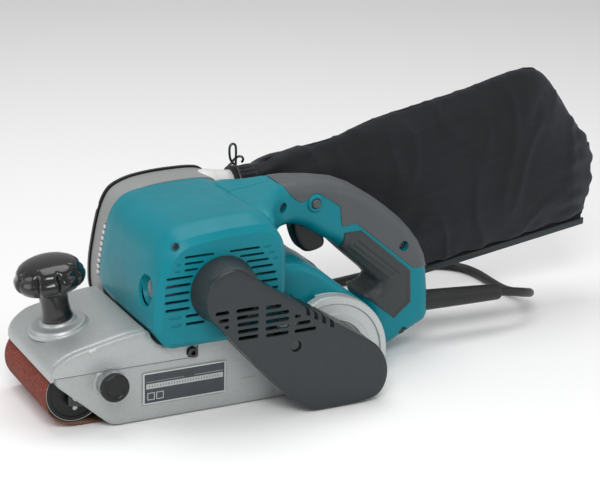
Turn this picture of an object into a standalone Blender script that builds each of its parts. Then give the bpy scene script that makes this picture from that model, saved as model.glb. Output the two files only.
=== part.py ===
"""Handheld belt sander, 100 x 610 mm belt: frame, drive, motor, handle, dust bag and lead as separate solids.

Stations along the tool are given in millimetres behind the front roller's axis, widths as Y (left side
is -Y, the drive-belt side) and heights above the floor.  The origin of the finished model is the middle
of the sanding face on the floor.
"""
import math

import bmesh
import bpy
import numpy as np
from mathutils import Matrix, Vector

# ------------------------------------------------------------------ driving dimensions (mm)
MM = 0.001
SPACING = 221.7            # between the two roller axes: a 610 mm belt on 27 mm rollers
MIDDLE = SPACING / 2.0     # station of the origin
ROLL_Z = 28.0              # height of both roller axes
BELT_R = 27.0              # outer radius of the belt on a roller
BELT_T = 1.2
BELT_HALF = 50.0
GAP = 0.3                  # between neighbours that touch
MOTOR_X, MOTOR_Z = 115.5, 110.0
WALL_Y = -64.0             # outer face of the cast side wall
SHAFT_R = 6.0              # drive roller shaft
ROTOR_R = 5.0              # motor shaft
BIG_PULLEY_R = 21.0
SMALL_PULLEY_R = 7.5
VBELT_Y = (-97.0, -84.0)
COVER_Y = -103.0           # outer face of the drive belt cover
HOUSING_Y = (-78.0, 48.0)
FAN_Y = (48.3, 76.0)
HANDLE_HALF = 22.0
KNOB_BASE = (3.7, 70.4)    # station and height where the front knob stands
KNOB_LEAN = math.radians(9.5)
YOKE_X = 36.0              # tilt axis of the front roller's fork
BAG_Y = 62.0               # middle plane of the dust bag and its spigot
SPIGOT_Z = 150.0
RAIL_SLOPE = 0.152
CORD_R = 4.15
COIL_AT = (190.0, 152.0)
COIL_IN, COIL_OUT, COIL_H = 33.0, 58.0, 25.0

# ------------------------------------------------------------------ empty scene
for item in list(bpy.data.objects):
    bpy.data.objects.remove(item, do_unlink=True)

PARTS = bpy.data.collections.new("belt_sander")
CUTTERS = bpy.data.collections.new("cutters")
bpy.context.scene.collection.children.link(PARTS)
bpy.context.scene.collection.children.link(CUTTERS)


def finish_material(name, rgb, rough, metal):
    mat = bpy.data.materials.new(name)
    mat.use_nodes = True
    shader = mat.node_tree.nodes["Principled BSDF"]
    shader.inputs["Base Color"].default_value = (*rgb, 1.0)
    shader.inputs["Roughness"].default_value = rough
    shader.inputs["Metallic"].default_value = metal
    return mat


LOOK = {
    "cast": ((0.36, 0.39, 0.39), 0.45, 0.6),
    "teal": ((0.0, 0.22, 0.26), 0.38, 0.0),
    "cover": ((0.055, 0.063, 0.068), 0.45, 0.0),
    "rubber": ((0.10, 0.105, 0.108), 0.7, 0.0),
    "black": ((0.012, 0.012, 0.013), 0.25, 0.0),
    "steel": ((0.55, 0.55, 0.56), 0.3, 1.0),
    "abrasive": ((0.22, 0.035, 0.022), 0.9, 0.0),
    "grey": ((0.33, 0.34, 0.34), 0.5, 0.0),
    "pale": ((0.72, 0.72, 0.70), 0.5, 0.0),
    "cloth": ((0.016, 0.017, 0.022), 0.95, 0.0),
    "copper": ((0.60, 0.26, 0.12), 0.35, 1.0),
    "plate": ((0.03, 0.04, 0.05), 0.4, 0.0),
    "cork": ((0.42, 0.26, 0.13), 0.9, 0.0),
}


# ------------------------------------------------------------------ modelling helpers
def at(x, y, z):
    """Station, width and height in millimetres to model space in metres."""
    return Vector(((x - MIDDLE) * MM, y * MM, z * MM))


def new_object(name, mesh, group=PARTS):
    ob = bpy.data.objects.new(name, mesh)
    group.objects.link(ob)
    return ob


def settle(ob):
    """Applies the modifiers and the placement, and leaves clean outward faces."""
    bpy.context.view_layer.update()
    graph = bpy.context.evaluated_depsgraph_get()
    mesh = bpy.data.meshes.new_from_object(ob.evaluated_get(graph))
    mesh.transform(ob.matrix_world)
    group = ob.users_collection[0]
    name = ob.name
    bpy.data.objects.remove(ob, do_unlink=True)
    bm = bmesh.new()
    bm.from_mesh(mesh)
    bmesh.ops.remove_doubles(bm, verts=bm.verts, dist=1e-6)
    bmesh.ops.dissolve_degenerate(bm, edges=bm.edges, dist=1e-6)
    bmesh.ops.recalc_face_normals(bm, faces=bm.faces)
    bm.to_mesh(mesh)
    bm.free()
    done = new_object(name, mesh, group)
    done.name = name
    return done


def signed_area(loop):
    return 0.5 * sum(a[0] * b[1] - b[0] * a[1] for a, b in zip(loop, loop[1:] + loop[:1]))


def grow(loop, by):
    """The outline moved outwards by a distance, inwards when negative."""
    if signed_area(loop) < 0:
        loop = loop[::-1]
    out = []
    count = len(loop)
    for i in range(count):
        (ax, az), (bx, bz), (cx, cz) = loop[i - 1], loop[i], loop[(i + 1) % count]
        n1 = Vector((bz - az, ax - bx)).normalized()
        n2 = Vector((cz - bz, bx - cx)).normalized()
        mid = (n1 + n2) / max(0.45, 1.0 + n1.dot(n2))
        out.append((bx + mid.x * by, bz + mid.y * by))
    return out


def arc(cx, cz, r, a0, a1, count):
    return [(cx + r * math.cos(math.radians(a0 + (a1 - a0) * i / (count - 1))),
             cz + r * math.sin(math.radians(a0 + (a1 - a0) * i / (count - 1)))) for i in range(count)]


def hull(circles, count=48):
    """The taut loop around circles (x, z, r): a belt's path."""
    pts = sorted({(round(x + r * math.cos(2 * math.pi * k / count), 5), round(z + r * math.sin(2 * math.pi * k / count), 5))
                  for x, z, r in circles for k in range(count)})

    def half(points):
        chain = []
        for p in points:
            while len(chain) > 1 and ((chain[-1][0] - chain[-2][0]) * (p[1] - chain[-2][1])
                                      - (chain[-1][1] - chain[-2][1]) * (p[0] - chain[-2][0])) <= 1e-9:
                chain.pop()
            chain.append(p)
        return chain[:-1]
    return half(pts) + half(pts[::-1])


def flat(name, loops, y0, y1, group=PARTS, soft=(), width=0.0, steps=1):
    """A flat outline in the X-Z plane, thick from y0 to y1; soft lists the ends whose rim is rounded."""
    if isinstance(loops[0][0], (int, float)):
        loops = [loops]
    curve = bpy.data.curves.new(name, "CURVE")
    curve.dimensions = "2D"
    curve.fill_mode = "BOTH"
    curve.extrude = abs(y1 - y0) / 2.0 * MM
    for loop in loops:
        spline = curve.splines.new("POLY")
        spline.points.add(len(loop) - 1)
        for point, (x, z) in zip(spline.points, loop):
            point.co = ((x - MIDDLE) * MM, z * MM, 0.0, 1.0)
        spline.use_cyclic_u = True
    ob = new_object(name, curve, group)
    ob.rotation_euler = (math.pi / 2.0, 0.0, 0.0)
    ob.location = (0.0, (y0 + y1) / 2.0 * MM, 0.0)
    ob = settle(ob)
    bm = bmesh.new()
    bm.from_mesh(ob.data)
    bmesh.ops.dissolve_limit(bm, angle_limit=math.radians(0.4), verts=bm.verts, edges=bm.edges)
    for end in soft:
        level = (y0 if end == "lo" else y1) * MM
        rim = [e for e in bm.edges if all(abs(v.co.y - level) < 1e-6 for v in e.verts)
               and any(abs(f.normal.y) < 0.5 for f in e.link_faces)]
        bmesh.ops.bevel(bm, geom=rim, offset=width * MM, segments=steps, profile=0.5, affect="EDGES")
    bm.to_mesh(ob.data)
    bm.free()
    return ob


def box(name, lo, hi, group=PARTS):
    bm = bmesh.new()
    a, b = at(*lo), at(*hi)
    bmesh.ops.create_cube(bm, size=1.0, matrix=Matrix.Translation((a + b) / 2.0)
                          @ Matrix.Diagonal((*(abs(b[i] - a[i]) for i in range(3)), 1.0)))
    mesh = bpy.data.meshes.new(name)
    bm.to_mesh(mesh)
    bm.free()
    return new_object(name, mesh, group)


def boxes(name, items):
    """Several cutting blocks in one object."""
    bm = bmesh.new()
    for lo, hi in items:
        a, b = at(*lo), at(*hi)
        bmesh.ops.create_cube(bm, size=1.0, matrix=Matrix.Translation((a + b) / 2.0)
                              @ Matrix.Diagonal((*(abs(b[i] - a[i]) for i in range(3)), 1.0)))
    mesh = bpy.data.meshes.new(name)
    bm.to_mesh(mesh)
    bm.free()
    return new_object(name, mesh, CUTTERS)


def rod(name, p, q, r, sides=24, group=PARTS, r2=None):
    """A cylinder or cone between two points."""
    a, b = at(*p), at(*q)
    run = b - a
    bm = bmesh.new()
    turn = run.to_track_quat("Z", "Y").to_matrix().to_4x4()
    bmesh.ops.create_cone(bm, cap_ends=True, segments=sides, radius1=r * MM, radius2=(r if r2 is None else r2) * MM,
                          depth=run.length, matrix=Matrix.Translation((a + b) / 2.0) @ turn)
    mesh = bpy.data.meshes.new(name)
    bm.to_mesh(mesh)
    bm.free()
    return new_object(name, mesh, group)


def turned(name, profile, base, direction, closed, steps=16, group=PARTS):
    """A turned piece: profile of (radius, height) from the top down its outer side, about a line through base."""
    bm = bmesh.new()
    verts = [bm.verts.new((r * MM, 0.0, h * MM)) for r, h in profile]
    for a, b in zip(verts, verts[1:] + (verts[:1] if closed else [])):
        if a is not b:
            bm.edges.new((a, b))
    mesh = bpy.data.meshes.new(name)
    bm.to_mesh(mesh)
    bm.free()
    ob = new_object(name, mesh, group)
    screw = ob.modifiers.new("turn", "SCREW")
    screw.axis = "Z"
    screw.angle = 2.0 * math.pi
    screw.steps = steps
    screw.render_steps = steps
    screw.use_merge_vertices = True
    screw.merge_threshold = 0.00001
    screw.use_smooth_shade = True
    ob.matrix_world = Matrix.Translation(at(*base)) @ Vector(direction).to_track_quat("Z", "Y").to_matrix().to_4x4()
    return settle(ob)


def washer(name, base, direction, inner, outer, length, steps=18, chamfer=0.0, group=PARTS):
    c = chamfer
    profile = [(inner, length), (outer - c, length), (outer, length - c), (outer, c), (outer - c, 0.0), (inner, 0.0)]
    if not c:
        profile = [(inner, length), (outer, length), (outer, 0.0), (inner, 0.0)]
    return turned(name, profile, base, direction, True, steps, group)


def tube(name, points, r, resolution=2, group=PARTS):
    curve = bpy.data.curves.new(name, "CURVE")
    curve.dimensions = "3D"
    curve.bevel_depth = r * MM
    curve.bevel_resolution = resolution
    curve.use_fill_caps = True
    spline = curve.splines.new("POLY")
    spline.points.add(len(points) - 1)
    for point, p in zip(spline.points, points):
        point.co = (*at(*p), 1.0)
    return settle(new_object(name, curve, group))


def smooth_route(knots, step):
    """Evenly spaced points on a Catmull-Rom curve through the knots."""
    pts = [Vector(k) for k in knots]
    pts = [2 * pts[0] - pts[1]] + pts + [2 * pts[-1] - pts[-2]]
    fine = []
    for i in range(1, len(pts) - 2):
        p0, p1, p2, p3 = pts[i - 1:i + 3]
        for k in range(40):
            t = k / 40.0
            fine.append(0.5 * (2 * p1 + (p2 - p0) * t + (2 * p0 - 5 * p1 + 4 * p2 - p3) * t * t
                               + (3 * p1 - p0 - 3 * p2 + p3) * t ** 3))
    fine.append(pts[-2])
    runs = [0.0]
    for a, b in zip(fine, fine[1:]):
        runs.append(runs[-1] + (b - a).length)
    count = max(2, int(round(runs[-1] / step)))
    want = [runs[-1] * k / count for k in range(count + 1)]
    return [tuple(float(np.interp(w, runs, [p[c] for p in fine])) for c in range(3)) for w in want]


def combine(ob, others, operation):
    """Joins or cuts with exact Booleans, then drops the tools used up."""
    others = others if isinstance(others, list) else [others]
    for other in others:
        other.hide_render = True
        other.display_type = "WIRE"
        mod = ob.modifiers.new(operation.lower(), "BOOLEAN")
        mod.operation = operation
        mod.solver = "EXACT"
        mod.object = other
    ob = settle(ob)
    for other in others:
        bpy.data.objects.remove(other, do_unlink=True)
    return ob


def dress(ob, look, pivot=None, sharp=30.0):
    """Gives the piece its material, its smooth shading and, if it moves, an origin on its joint's axis."""
    key = LOOK[look]
    ob.data.materials.clear()
    ob.data.materials.append(finish_material(ob.name + "_finish", *key))
    ob.data.shade_smooth()
    ob.data.set_sharp_from_angle(angle=math.radians(sharp))
    if pivot is not None:
        point = at(*pivot)
        ob.data.transform(Matrix.Translation(-point))
        ob.location = point
    return ob


# ------------------------------------------------------------------ outlines shared by neighbours (station, height)
HOUSING = [(68.5, 64.5), (60.5, 76.5), (58.3, 82), (60, 100), (63.5, 122), (67.5, 141), (73, 152), (82, 159.5), (95, 162.5),
           (118, 164.5), (150, 165.3), (162, 162), (169.5, 152), (172.8, 138), (173, 104), (172, 80), (166, 70), (158, 64.5)]
REAR_DECK = [(173.5, 111), (182, 112.5), (201, 110.5), (220, 101.5), (236, 88.5), (250, 76.5), (262, 67.5), (272, 57.5),
             (279, 46), (283, 34), (283.4, 22), (281, 10), (277.5, 5)]
COVER = [(93, 98), (91, 108.5), (92, 118), (95, 126), (101, 131), (108, 134.3), (115.5, 135), (124, 131), (134, 124),
         (145.5, 116), (175.5, 96), (204.5, 78), (238.5, 56), (246.5, 50.5), (253.5, 40), (257, 28), (255.5, 16), (251, 8),
         (244, 3.5), (231, 2), (205, 2), (188, 2), (180, 5), (168.5, 14.5), (162.5, 20), (131.5, 54), (116.5, 72), (101.5, 89)]
FAN_CASE = [(66, 58), (61.5, 66), (60, 76), (60.5, 95), (65, 120), (69, 137), (74, 149), (80, 156.5), (92, 161.5), (105, 164),
            (124, 165.5), (150, 165.5), (163, 163.5), (171.5, 154), (177, 134), (188, 113), (200, 98.5), (212, 88.5),
            (228, 83.5), (243, 81.5), (257, 74.5), (266, 66), (270, 58)]
HANDLE = [(173.4, 165.5), (192, 169.8), (210, 170.3), (233, 168), (256, 163.5), (272, 156.5), (285, 148), (298, 138),
          (312, 126), (322, 115), (331, 103), (337.5, 90), (341, 75), (343, 56), (343.8, 34), (340.5, 27.5), (301, 8.6), (285.5, 8.2),
          (286.3, 22), (285.6, 36), (281.5, 48), (276.2, 58), (271.5, 64.3), (278, 63.2), (284, 63.4), (290, 66), (292.5, 71),
          (286, 78), (276, 87), (266, 96), (255, 106.5), (247, 113.5), (238, 118), (229, 123.5), (218, 131), (206, 134.5),
          (195, 133.2), (187, 129.5), (180, 121.5), (173.4, 116.5)]
HANDLE_CORE = [(177, 161.5), (192, 165.8), (210, 166.3), (232, 164), (254.5, 159.7), (270, 153), (283, 144.8), (295.5, 135.2), (309, 123.6),
               (318.5, 113), (327.5, 101.3), (334, 88.8), (337.5, 74.5), (339.4, 56), (340.2, 35), (338.8, 30.6), (300.5, 12.4), (289.2, 12),
               (290.2, 22), (289.4, 37), (285, 50), (281.5, 56.5), (286, 60.0), (292.5, 62.5), (296.5, 70.5), (289, 80.5), (278.5, 89.8),
               (268.3, 98.7), (257.2, 109.2), (249, 116.6), (239.6, 121.2), (231, 126.5), (219.5, 134.5), (206.5, 138.2), (194, 136.7),
               (184.5, 132.3), (178, 124.5), (177, 120)]
GRIP_TOP = [(196.5, 168.8), (202, 163), (208, 157), (213.5, 154.5), (219, 160), (226, 161.8), (233, 158), (249, 147), (251.5, 128.5), (266, 129.5),
            (323, 81.5), (338.5, 79.5), (335, 90), (328, 103), (320, 113.5), (310, 124), (296, 136), (283, 146), (271, 154), (255, 161),
            (233, 165.4), (210, 167.6), (199, 167.4)]
GRIP_LOW = [(254.5, 122.5), (271, 122.5), (320.5, 79.5), (322, 50), (306, 37), (287.5, 53), (295.5, 64), (297, 74), (289, 82),
            (278, 91), (268, 100), (257.5, 110), (253.5, 113.5)]


# ------------------------------------------------------------------ belt, rollers and platen
front = (0.0, ROLL_Z)
rear = (SPACING, ROLL_Z)
outer = hull([(*front, BELT_R), (*rear, BELT_R), (44, 4, 4), (178, 4, 4)])
inner = hull([(*front, BELT_R - BELT_T), (*rear, BELT_R - BELT_T), (44, 4, 4 - BELT_T), (178, 4, 4 - BELT_T)])
dress(flat("sanding_belt", [outer, inner], -BELT_HALF, BELT_HALF), "abrasive")
dress(box("platen_plate", (47, -49, 1.5), (175, 49, 2.7)), "steel")
dress(box("platen_pad", (47, -49, 3.0), (175, 49, 5.5)), "cork")

drive_profile = [(SHAFT_R + GAP, 101.6), (24.6, 101.6), (25.4, 100.8), (25.4, 0.8), (24.6, 0), (SHAFT_R + GAP, 0)]
dress(turned("drive_roller", drive_profile, (*rear[:1], -51.6, rear[1]), (0, 1, 0), True, 28), "rubber", (rear[0], 0, rear[1]))
shaft = rod("drive_shaft", (rear[0], -98, rear[1]), (rear[0], 56.8, rear[1]), SHAFT_R, 20)
dress(shaft, "steel", (rear[0], 0, rear[1]))
dress(turned("large_pulley", [(SHAFT_R + GAP, 13), (BIG_PULLEY_R, 13), (BIG_PULLEY_R, 9.5), (19.8, 8), (BIG_PULLEY_R, 6.5), (19.8, 5),
                              (BIG_PULLEY_R, 3.5), (BIG_PULLEY_R, 0), (SHAFT_R + GAP, 0)],
             (rear[0], VBELT_Y[0], rear[1]), (0, 1, 0), True, 20), "steel", (rear[0], 0, rear[1]))
dress(washer("roller_bearing_left", (rear[0], -63.5, rear[1]), (0, 1, 0), SHAFT_R + GAP, 13.0, 9.0, 16), "steel")
dress(washer("roller_bearing_right", (rear[0], 50.8, rear[1]), (0, 1, 0), SHAFT_R + GAP, 11.0, 6.0, 16), "steel")

dress(turned("idler_roller", [(5.3, 94), (24.6, 94), (25.2, 80), (25.2, 14), (24.6, 0), (5.3, 0)],
             (0, -47, ROLL_Z), (0, 1, 0), True, 28), "steel", (0, 0, ROLL_Z))
dress(rod("idler_axle", (0, -53.0, ROLL_Z), (0, 53.0, ROLL_Z), 5.0, 14), "steel", (YOKE_X, 0, ROLL_Z))

# fork that carries the roller and tilts by a fraction of a degree on the carriage
fork_side = [(-8, 20), (8, 17), (31, 17), (31, 39), (8, 39), (-8, 36)]
fork = flat("idler_fork", fork_side, -53.0, -48.6)
fork = combine(fork, [flat("f2", fork_side, 48.6, 53.0, CUTTERS), box("f3", (27.5, -53, 18), (31, 53, 38), CUTTERS),
                      rod("f4", (YOKE_X, 0, 18), (YOKE_X, 0, 23.5), 4.7, 16, CUTTERS), box("f5", (29, -3.6, 18), (35, 3.6, 23.5), CUTTERS)], "UNION")
fork = combine(fork, [rod("f6", (0, -60, ROLL_Z), (0, 60, ROLL_Z), 5.3, 18, CUTTERS),
                      rod("f7", (YOKE_X, 0, 15), (YOKE_X, 0, 26), 2.8, 14, CUTTERS)], "DIFFERENCE")
dress(fork, "steel", (YOKE_X, 0, ROLL_Z))
carriage = rod("idler_carriage", (YOKE_X - 4.4, 0, ROLL_Z + 0.5), (76, 0, ROLL_Z + 0.5), 4.5, 18)
carriage = combine(carriage, [box("c1", (31.6, -8, 23.8), (40.0, 8, 36), CUTTERS), rod("c2", (YOKE_X, 0, 16.5), (YOKE_X, 0, 31.3), 2.5, 14, CUTTERS)], "UNION")
dress(carriage, "steel")

coil_points = [(42.0 + 8.8 * k / 40.0, 7.0 * math.cos(2 * math.pi * 4 * k / 40.0), ROLL_Z + 0.5 + 7.0 * math.sin(2 * math.pi * 4 * k / 40.0))
               for k in range(41)]
dress(tube("tension_spring", coil_points, 0.9, 0), "steel")

# ------------------------------------------------------------------ cast frame
wall = [(-21.2, 49.7), (-21.2, 43.0), (25.5, 1.0), (268.5, 1.0)] + arc(SPACING, ROLL_Z, 55.0, -27, 100, 15) + [(200, 76), (190, 63.8), (100.2, 63.8), (100.2, 49.7)]
frame = flat("base_frame", wall, WALL_Y, -54.0, soft=("lo",), width=1.6)
beam_hole = [(60, 12), (180, 12), (180, 43), (60, 43)]
frame = combine(frame, [
    box("b1", (62, -56.5, 58), (192, 47.8, 63.8), CUTTERS),
    flat("b2", [[(52, 5.8), (188, 5.8), (188, 49), (52, 49)], beam_hole], -55.0, 50.4, CUTTERS),
    flat("b3", [(150, 9), (182, 7)] + arc(SPACING, ROLL_Z, 15.0, -90, 90, 9) + [(182, 47), (150, 47)], 50.0, 57.2, CUTTERS),
    box("b4", (69, 44, 6.4), (79, 62, 11.6), CUTTERS), box("b5", (69, 44, 43.4), (79, 62, 48.6), CUTTERS),
    box("b6", (100.2, -58, 45), (186, -50, 62), CUTTERS)], "UNION")
frame = combine(frame, [
    rod("h1", (rear[0], -70, rear[1]), (rear[0], -50, rear[1]), 13.3, 24, CUTTERS),
    rod("h2", (rear[0], 48, rear[1]), (rear[0], 60, rear[1]), 11.3, 24, CUTTERS),
    rod("h3", (50, 0, ROLL_Z + 0.5), (62, 0, ROLL_Z + 0.5), 4.9, 18, CUTTERS),
    rod("h4", (23, -70, 40), (23, -50, 40), 3.4, 16, CUTTERS),
    rod("h5", (74, 57.5, 0), (74, 57.5, 55), 2.3, 14, CUTTERS),
    rod("h6", (170, -70, 62), (170, -50, 62), 3.3, 14, CUTTERS)], "DIFFERENCE")
dress(frame, "cast")

# ------------------------------------------------------------------ front cover with the knob's pedestal
lean = Vector((-math.sin(KNOB_LEAN), 0.0, math.cos(KNOB_LEAN)))


def on_knob(h):
    return (KNOB_BASE[0] + lean.x * h, 0.0, KNOB_BASE[1] + lean.z * h)


hump = [(56.8, 77), (46, 76.3), (35, 74.8), (18, 71.4), (0, 67.6), (-9, 65), (-16, 61.6), (-21.5, 57.2), (-24.6, 51.5), (-25.2, 46),
        (-22.9, 46.5), (-21.8, 50.5), (-18.2, 55), (-12.5, 59.3), (0.6, 63.8), (18.6, 67.6), (35.5, 71), (46.3, 72.6), (56.8, 73.3)]
side = [(-24.4, 50.0), (99.6, 50.0), (99.6, 63.4), (66, 63.4), (58.2, 75), (56.9, 77.2), (46, 76.4), (35, 75), (18, 71.6), (0, 67.8), (-9, 65.2),
        (-16, 61.8), (-21.5, 57.4), (-24.5, 52)]
cover = flat("front_cover", hump, -63.0, 60.0)
cover = combine(cover, [flat("s1", side, WALL_Y, -57.2, CUTTERS, ("lo",), 1.6),
                        turned("s2", [(0, 5.8), (13.5, 5.8), (14.5, 5.0), (14.5, 2.6), (20, 2.2), (22, 0.6), (22, -4.7), (0, -4.7)],
                               on_knob(0), lean, False, 22, CUTTERS)], "UNION")
cover = combine(cover, [rod("s3", on_knob(-12), on_knob(12), 4.4, 16, CUTTERS),
                        rod("s4", (94.5, -70, 55.2), (94.5, -50, 55.2), 2.6, 14, CUTTERS)], "DIFFERENCE")
dress(cover, "cast")

knob_profile = [(0, 58.5), (17, 56.8), (26.5, 50.5), (29.5, 43.5), (27.0, 34.8), (13.4, 30.6), (11.5, 26), (11.5, 12), (13.2, 6.1),
                (4.4, 6.1), (4.4, 44.0), (0, 44.0)]
knob = turned("front_knob", knob_profile, on_knob(0), lean, False, 40)
centre = at(*on_knob(0))
for vert in knob.data.vertices:
    rel = vert.co - centre
    high = rel.dot(lean)
    away = rel - lean * high
    if away.length > 0.0175 and high > 0.030:
        ang = math.atan2(away.y, away.dot(lean.cross(Vector((0, 1, 0)))))
        vert.co = centre + lean * high + away * (1.0 - 0.035 * (0.5 - 0.5 * math.cos(10 * ang)))
dress(knob, "black")
bolt = turned("knob_bolt", [(0, 43), (4.0, 43), (4.0, -7.8), (7.0, -7.8), (7.0, -10.6), (0, -10.6)], on_knob(0), lean, False, 12)
dress(bolt, "steel")
dress(flat("rating_plate", [(53, 15.1), (123.5, 15.1), (124.7, 16.3), (124.7, 41.3), (123.5, 42.5), (53, 42.5), (51.8, 41.3), (51.8, 16.3)],
           WALL_Y - 0.9, WALL_Y - GAP), "plate")
dress(turned("frame_screw", [(0, 6), (3.0, 6), (4.6, 4.6), (4.6, 3.4), (2.3, 3.4), (2.3, -6), (0, -6)], (94.5, -67.7, 55.2), (0, -1, 0), False, 12), "steel")

# tracking knob on its screw, through the side wall
track = turned("tracking_knob", [(0, 12.3), (8.2, 12.3), (9.0, 11.0), (10.6, 11.0), (12.0, 9.8), (12.0, 1.6), (11.0, 0.4), (3.0, 0.4), (3.0, -10.6), (0, -10.6)],
               (23, -64.4, 40), (0, -1, 0), False, 24)
dress(track, "black", (23, -64.4, 40))

# belt tension lever on the open side
lever = rod("tension_lever", (74, 57.5, 12.4), (74, 57.5, 42.8), 4.6, 18)
lever = combine(lever, [flat("l1", [(74, 20), (124, 22), (138, 24), (142, 28), (138, 32), (124, 34), (74, 36)], 55.6, 59.0, CUTTERS)], "UNION")
lever = combine(lever, [rod("l2", (74, 57.5, 5), (74, 57.5, 50), 2.3, 14, CUTTERS)], "DIFFERENCE")
dress(lever, "steel", (74, 57.5, ROLL_Z))
dress(rod("lever_pin", (74, 57.5, 6.6), (74, 57.5, 48.4), 2.0, 12), "steel")

# ------------------------------------------------------------------ motor
housing = flat("motor_housing", HOUSING, *HOUSING_Y, soft=("lo",), width=6.0, steps=2)
housing = combine(housing, flat("m1", grow(HOUSING, -3.0), HOUSING_Y[0] + 3.2, HOUSING_Y[1] + 8, CUTTERS), "DIFFERENCE")
housing = combine(housing, rod("m2", (MOTOR_X, -76, MOTOR_Z), (MOTOR_X, -66.5, MOTOR_Z), 15.0, 24, CUTTERS), "UNION")
slots = []
for k, (x0, x1, x2, x3) in enumerate([(82, 108, 121, 148), (80, 98, 134, 152), (80, 94, 138, 156), (65, 88, 146, 158), (64, 86, 150, 160),
                                       (63, 84, 154, 161), (66, 86, 0, 0), (68, 88, 0, 0), (74, 92, 0, 0)]):
    z = 146.0 - 7.6 * k
    slots.append(((x0, -80, z - 1.2), (x1, -72, z + 1.2)))
    if x2:
        slots.append(((x2, -80, z - 1.2), (x3, -72, z + 1.2)))
housing = combine(housing, [rod("m3", (MOTOR_X, -74.6, MOTOR_Z), (MOTOR_X, -60, MOTOR_Z), 11.3, 24, CUTTERS),
                            rod("m4", (MOTOR_X, -82, MOTOR_Z), (MOTOR_X, -70, MOTOR_Z), 6.0, 18, CUTTERS),
                            rod("m5", (50, -54, MOTOR_Z), (70, -54, MOTOR_Z), 8.8, 20, CUTTERS),
                            boxes("m6", slots)], "DIFFERENCE")
dress(housing, "teal")
dress(washer("motor_bearing_left", (MOTOR_X, -74.3, MOTOR_Z), (0, 1, 0), ROTOR_R + GAP, 11.0, 7.0, 16), "steel")
dress(washer("motor_bearing_right", (MOTOR_X, 50.8, MOTOR_Z), (0, 1, 0), ROTOR_R + GAP, 11.0, 6.0, 16), "steel")
dress(washer("field_stator", (MOTOR_X, -38, MOTOR_Z), (0, 1, 0), 26.0, 40.0, 54.0, 24), "steel")
dress(washer("armature", (MOTOR_X, -35, MOTOR_Z), (0, 1, 0), ROTOR_R + GAP, 24.8, 48.0, 24), "copper", (MOTOR_X, 0, MOTOR_Z))
dress(rod("motor_shaft", (MOTOR_X, -98, MOTOR_Z), (MOTOR_X, 73.5, MOTOR_Z), ROTOR_R, 18), "steel", (MOTOR_X, 0, MOTOR_Z))
dress(washer("commutator", (MOTOR_X, -62, MOTOR_Z), (0, 1, 0), ROTOR_R + GAP, 14.0, 16.0, 18), "copper", (MOTOR_X, 0, MOTOR_Z))
dress(turned("small_pulley", [(ROTOR_R + GAP, 13), (7.5, 13), (7.5, 8), (6.7, 6.5), (7.5, 5), (7.5, 0), (ROTOR_R + GAP, 0)],
             (MOTOR_X, VBELT_Y[0], MOTOR_Z), (0, 1, 0), True, 14), "steel", (MOTOR_X, 0, MOTOR_Z))
for label, x0, x1 in (("front", 66.5, 101.0), ("rear", 130.0, 166.0)):
    dress(box("brush_holder_" + label, (x0, -59, MOTOR_Z - 5), (x1, -49, MOTOR_Z + 5)), "copper")
dress(turned("brush_cap_front", [(0, 4.6), (6.6, 4.6), (8.3, 3.4), (8.3, 0), (0, 0)], (66.0, -54, MOTOR_Z), (-1, 0, 0), False, 20), "black")

fan = washer("fan", (MOTOR_X, 58.5, MOTOR_Z), (0, 1, 0), ROTOR_R + GAP, 40.0, 2.4, 24)
vanes = [washer("v0", (MOTOR_X, 60, MOTOR_Z), (0, 1, 0), ROTOR_R + 0.5, 10.0, 11.5, 14, 0.0, CUTTERS)]
for k in range(7):
    ang = 2 * math.pi * k / 7
    blade = box("v%d" % (k + 1), (MOTOR_X + 8, 60, MOTOR_Z - 0.8), (MOTOR_X + 39, 71, MOTOR_Z + 0.8), CUTTERS)
    blade.data.transform(Matrix.Translation(at(MOTOR_X, 0, MOTOR_Z)) @ Matrix.Rotation(ang, 4, "Y") @ Matrix.Translation(-at(MOTOR_X, 0, MOTOR_Z)))
    vanes.append(blade)
dress(combine(fan, vanes, "UNION"), "pale", (MOTOR_X, 0, MOTOR_Z))

# ------------------------------------------------------------------ poly-V belt and its cover
loop_out = hull([(MOTOR_X, MOTOR_Z, SMALL_PULLEY_R + 2.2), (*rear, BIG_PULLEY_R + 2.2)], 32)
loop_in = hull([(MOTOR_X, MOTOR_Z, SMALL_PULLEY_R + 0.4), (*rear, BIG_PULLEY_R + 0.4)], 32)
dress(flat("poly_v_belt", [loop_out, loop_in], VBELT_Y[0] + 1, VBELT_Y[1] - 1), "black")

guard = flat("drive_belt_cover", COVER, COVER_Y, WALL_Y - 0.4, soft=("lo",), width=2.6, steps=2)
guard = combine(guard, rod("g1", (MOTOR_X, -78.4, 111.0), (MOTOR_X, -101.0, 111.0), 28.5, 24, CUTTERS, 23.6), "UNION")
guard = combine(guard, flat("g2", grow(HOUSING, 0.5), HOUSING_Y[0] - GAP, -60, CUTTERS), "DIFFERENCE")
guard = combine(guard, flat("g3", grow(COVER, -2.6), COVER_Y + 2.8, -60, CUTTERS), "DIFFERENCE")
guard = combine(guard, rod("g4", (170, -101.5, 62), (170, -66, 62), 6.0, 12, CUTTERS), "UNION")
vent = []
for x0, x1, z in ((98, 110, 100.5), (101, 110, 94), (107, 110, 88)):
    vent.append(((x0, -106, z - 1.3), (x1, -99, z + 1.3)))
for k in range(5):
    vent.append(((116.5 + 0.4 * k, -106, 100 - 6.0 * k - 1.2), (136, -99, 100 - 6.0 * k + 1.2)))
for k, x1 in enumerate((157, 163, 163, 163, 163)):
    vent.append(((142.5, -106, 99 - 6.0 * k - 1.2), (x1, -99, 99 - 6.0 * k + 1.2)))
for x0, x1, z in ((168, 174, 88), (168, 183, 81.5), (168, 188, 75.5)):
    vent.append(((x0, -106, z - 1.2), (x1, -99, z + 1.2)))
for k in range(4):
    top = 92.6 - 4.65 * k
    vent.append(((181.0 + 7.5 * k, -104, top - 4.5), (183.2 + 7.5 * k, -97, top + 8)))
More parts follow.
